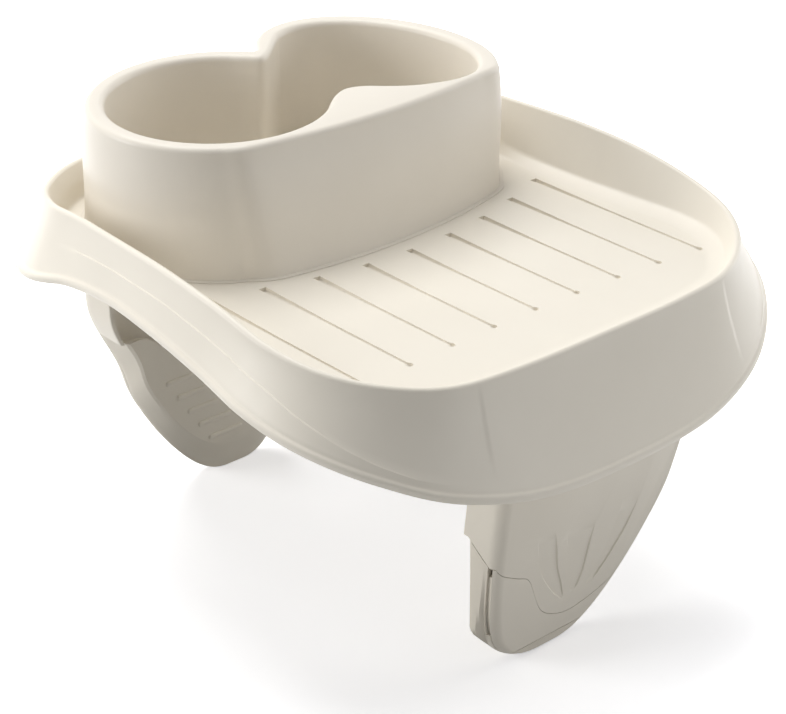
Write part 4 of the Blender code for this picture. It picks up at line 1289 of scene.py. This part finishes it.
# %% Grip plate
def make_tongue(turned):
    """The strip that closes the slot in the left side, up to the hole at its top."""
    near = SHELL_DEPTH + GAP
    outer = leg_ring(turned, TONGUE_NEAR, LEG_WALL, LEG_WALL)
    inner = leg_ring(turned, TONGUE_NEAR + TONGUE_THICK, LEG_WALL + TONGUE_THICK, LEG_WALL)
    tongue = prism("tongue", outer, near, TONGUE_FAR)
    hole = prism("tongue_hole", inner, near - TONGUE_MARGIN, TONGUE_FAR + TONGUE_MARGIN)
    cut_or_join(tongue, [hole], "DIFFERENCE")
    reach = slab("tongue_reach", TONGUE_LOW, TONGUE_TOP, -near, 2 * TONGUE_FAR, right=TONGUE_RIGHT)
    return cut_or_join(tongue, [reach], "INTERSECT")


def make_grip_plate(turned):
    """The inner plate with its tip: a hollow mould cut by the slot and its upper edge."""
    floor = line(SLOT_FLOOR, 0.0, turned)
    rows = [(EDGE_DEPTH, *row, 0.0) for row in GRIP_SECTION]
    start = (HOLLOW_START, 0.0, 0.0, 0.0, 0.0, 0.0)
    plate = leg_mould("grip_plate", turned, edge_rows() + rows, grip_depth)
    cuts = [
        leg_mould("grip_hollow", turned, [start] + rows, grip_depth, LEG_WALL),
        slab("front", TIP_HEIGHT, CUT_HIGH, -CUT_FAR, SHELL_DEPTH + GAP),
        prism("slot", over_line(floor, CUT_HIGH), 0.0, SLOT_END + 2 * GAP),
        grip_edge("above_grip", 0.0, turned, CUT_HIGH),
    ]
    cut_or_join(plate, cuts, "DIFFERENCE")
    return cut_or_join(plate, [make_ribs(), make_tongue(turned)], "UNION")


# %% [markdown]
# The rear leg is made by the same three functions. Its points are then turned half
# round the middle of the legs, and its foot reaches a little further out.


# %% Both legs
def turn_half(obj):
    """Turns a piece half round the middle of the legs, and spreads its foot a little."""
    for vertex in obj.data.vertices:
        reach = REAR_FOOT_REACH * (1.0 - vertex.co.z / LEG_TOP)
        vertex.co.x = -vertex.co.x
        vertex.co.y = 2 * LEG_MID_Y - vertex.co.y + reach
    obj.data.update()


def make_leg(side, turned):
    """The three mouldings of one leg, named for its side."""
    kinds = (
        ("upper_shell", make_upper_shell, "shell_plastic", SHELL_PLASTIC),
        ("lower_shell", make_lower_shell, "shell_plastic", SHELL_PLASTIC),
        ("grip_plate", make_grip_plate, "grip_plastic", GRIP_PLASTIC),
    )
    for kind, make, slot, material in kinds:
        piece = make(turned)
        if turned:
            turn_half(piece)
        node = side + "_leg_" + kind
        piece.name = node + "_moulding"
        finish_piece(piece, side + "_leg", node, material, LEG_SHARP_DEGREES)


make_leg("front", False)
make_leg("rear", True)

# %% [markdown]
# ## Sockets, seat and grooves
# The tray is finished last, because it needs the others: a socket for the top of each
# leg is joined on below, and the seat of the cup block and the nine grooves are cut.


# %% Sockets
def make_socket(turned):
    """The collar under the deck that the top of a leg plugs into."""
    top = DECK_TOP - 0.5 * DECK_WALL
    low = DECK_TOP - DECK_WALL - SOCKET_DEPTH
    wall = SOCKET_WALL + GAP
    roof, left, right = DECK_TOP - DECK_WALL, LEG_LEFT, LEG_RIGHT
    collar = slab("socket", low, top, -wall, UPPER_DEPTH + wall, left - wall, right + wall)
    open_low = low - SOCKET_MARGIN
    hollow = slab("socket_hollow", open_low, roof, -GAP, UPPER_DEPTH + GAP, left - GAP, right + GAP)
    cut_or_join(collar, [hollow], "DIFFERENCE")
    if turned:
        turn_half(collar)
    return collar


cut_or_join(tray, [grooves, make_seat_cutter()], "DIFFERENCE")
cut_or_join(tray, [make_socket(False), make_socket(True)], "UNION")
finish_piece(tray, "tray", "tray_deck", TRAY_PLASTIC)

# %% [markdown]
# ## The floor and the light
# The photograph has a white background and soft shadows under the feet. The floor adds
# a little light of its own for the camera only, and more of it further away, so that it
# reads as white while it still takes the shadow. Four large soft lamps light the tray: a
# strong one above, one behind on the left, and two weak ones at the right and in front.


# %% Floor
FLOOR_PALE = 0.5
FLOOR_SEEN = 1.0
FLOOR_GLOW = 0.4
FLOOR_TINT = (0.97, 0.97, 1.0, 1.0)
FLOOR_HALF = 6.0
# metres from the middle: where the floor's own light starts to grow, and where it is full
SHADOW_REACH = (0.12, 0.36)


def seen_directly(tree):
    """1 for rays from the camera, off gloss or through glass, which meet the white background."""
    ray = add_node(tree, "ShaderNodeLightPath").outputs
    seen = calc(tree, "MAXIMUM", ray["Is Camera Ray"], ray["Is Glossy Ray"])
    return calc(tree, "MAXIMUM", seen, ray["Is Transmission Ray"])


def floor_material():
    """Pale paper that takes the shadow, with its own light added for the camera."""
    material = bpy.data.materials.new("studio_floor")
    material.use_nodes = True
    tree = material.node_tree
    tree.nodes.clear()
    seen = seen_directly(tree)
    place = add_node(tree, "ShaderNodeTexCoord").outputs["Object"]
    away = add_node(tree, "ShaderNodeVectorMath", {0: place}, operation="LENGTH").outputs["Value"]
    spread = {"Value": away, "To Min": FLOOR_GLOW, "To Max": 1.0}
    spread["From Min"], spread["From Max"] = SHADOW_REACH
    brightness = add_node(tree, "ShaderNodeMapRange", spread).outputs["Result"]
    glow = calc(tree, "MULTIPLY", seen, brightness)
    pale = calc(tree, "MULTIPLY_ADD", seen, FLOOR_SEEN - FLOOR_PALE, FLOOR_PALE)
    paper = add_node(tree, "ShaderNodeBsdfDiffuse", {"Color": pale})
    light = add_node(tree, "ShaderNodeEmission", {"Color": FLOOR_TINT, "Strength": glow})
    both = add_node(tree, "ShaderNodeAddShader", {0: paper.outputs[0], 1: light.outputs[0]})
    add_node(tree, "ShaderNodeOutputMaterial", {"Surface": both.outputs[0]})
    return material


floor_mesh = bpy.data.meshes.new("studio_floor")
signs = ((-1, -1), (1, -1), (1, 1), (-1, 1))
floor_mesh.from_pydata([(x * FLOOR_HALF, y * FLOOR_HALF, 0) for x, y in signs], [], [(0, 1, 2, 3)])
floor_mesh.materials.append(floor_material())
new_object("studio_floor", floor_mesh)
print("floor is", 2 * FLOOR_HALF, "m wide")


# %% World and lamps
def soft_lamp(name, place, size, watts):
    """A square area lamp that faces the tray."""
    data = bpy.data.lights.new(name, "AREA")
    data.shape = "SQUARE"
    data.size = size
    data.energy = watts
    lamp = new_object(name, data)
    lamp.location = place
    lamp.rotation_euler = (TARGET - Vector(place)).to_track_quat("-Z", "Y").to_euler()


WORLD_LIGHT = 0.2
world = bpy.data.worlds.new("studio")
bpy.context.scene.world = world
world.use_nodes = True
world_tree = world.node_tree
world_tree.nodes.clear()
shown = seen_directly(world_tree)
strength = calc(world_tree, "MULTIPLY_ADD", shown, 1.0 - WORLD_LIGHT, WORLD_LIGHT)
sky = add_node(world_tree, "ShaderNodeBackground", {"Color": (1, 1, 1, 1), "Strength": strength})
add_node(world_tree, "ShaderNodeOutputWorld", {"Surface": sky.outputs[0]})

TARGET = Vector((0.0, 0.0, 0.15))
soft_lamp("lamp_above", (0.1, 0.7, 1.7), 1.3, 27.5)
soft_lamp("lamp_left", (-1.45, 0.95, 0.6), 0.9, 17.2)
soft_lamp("lamp_right", (1.5, -0.35, 0.5), 0.9, 8.0)
soft_lamp("lamp_front", (0.4, -1.5, 0.3), 0.9, 5.0)
bpy.context.scene.view_settings.view_transform = "Standard"
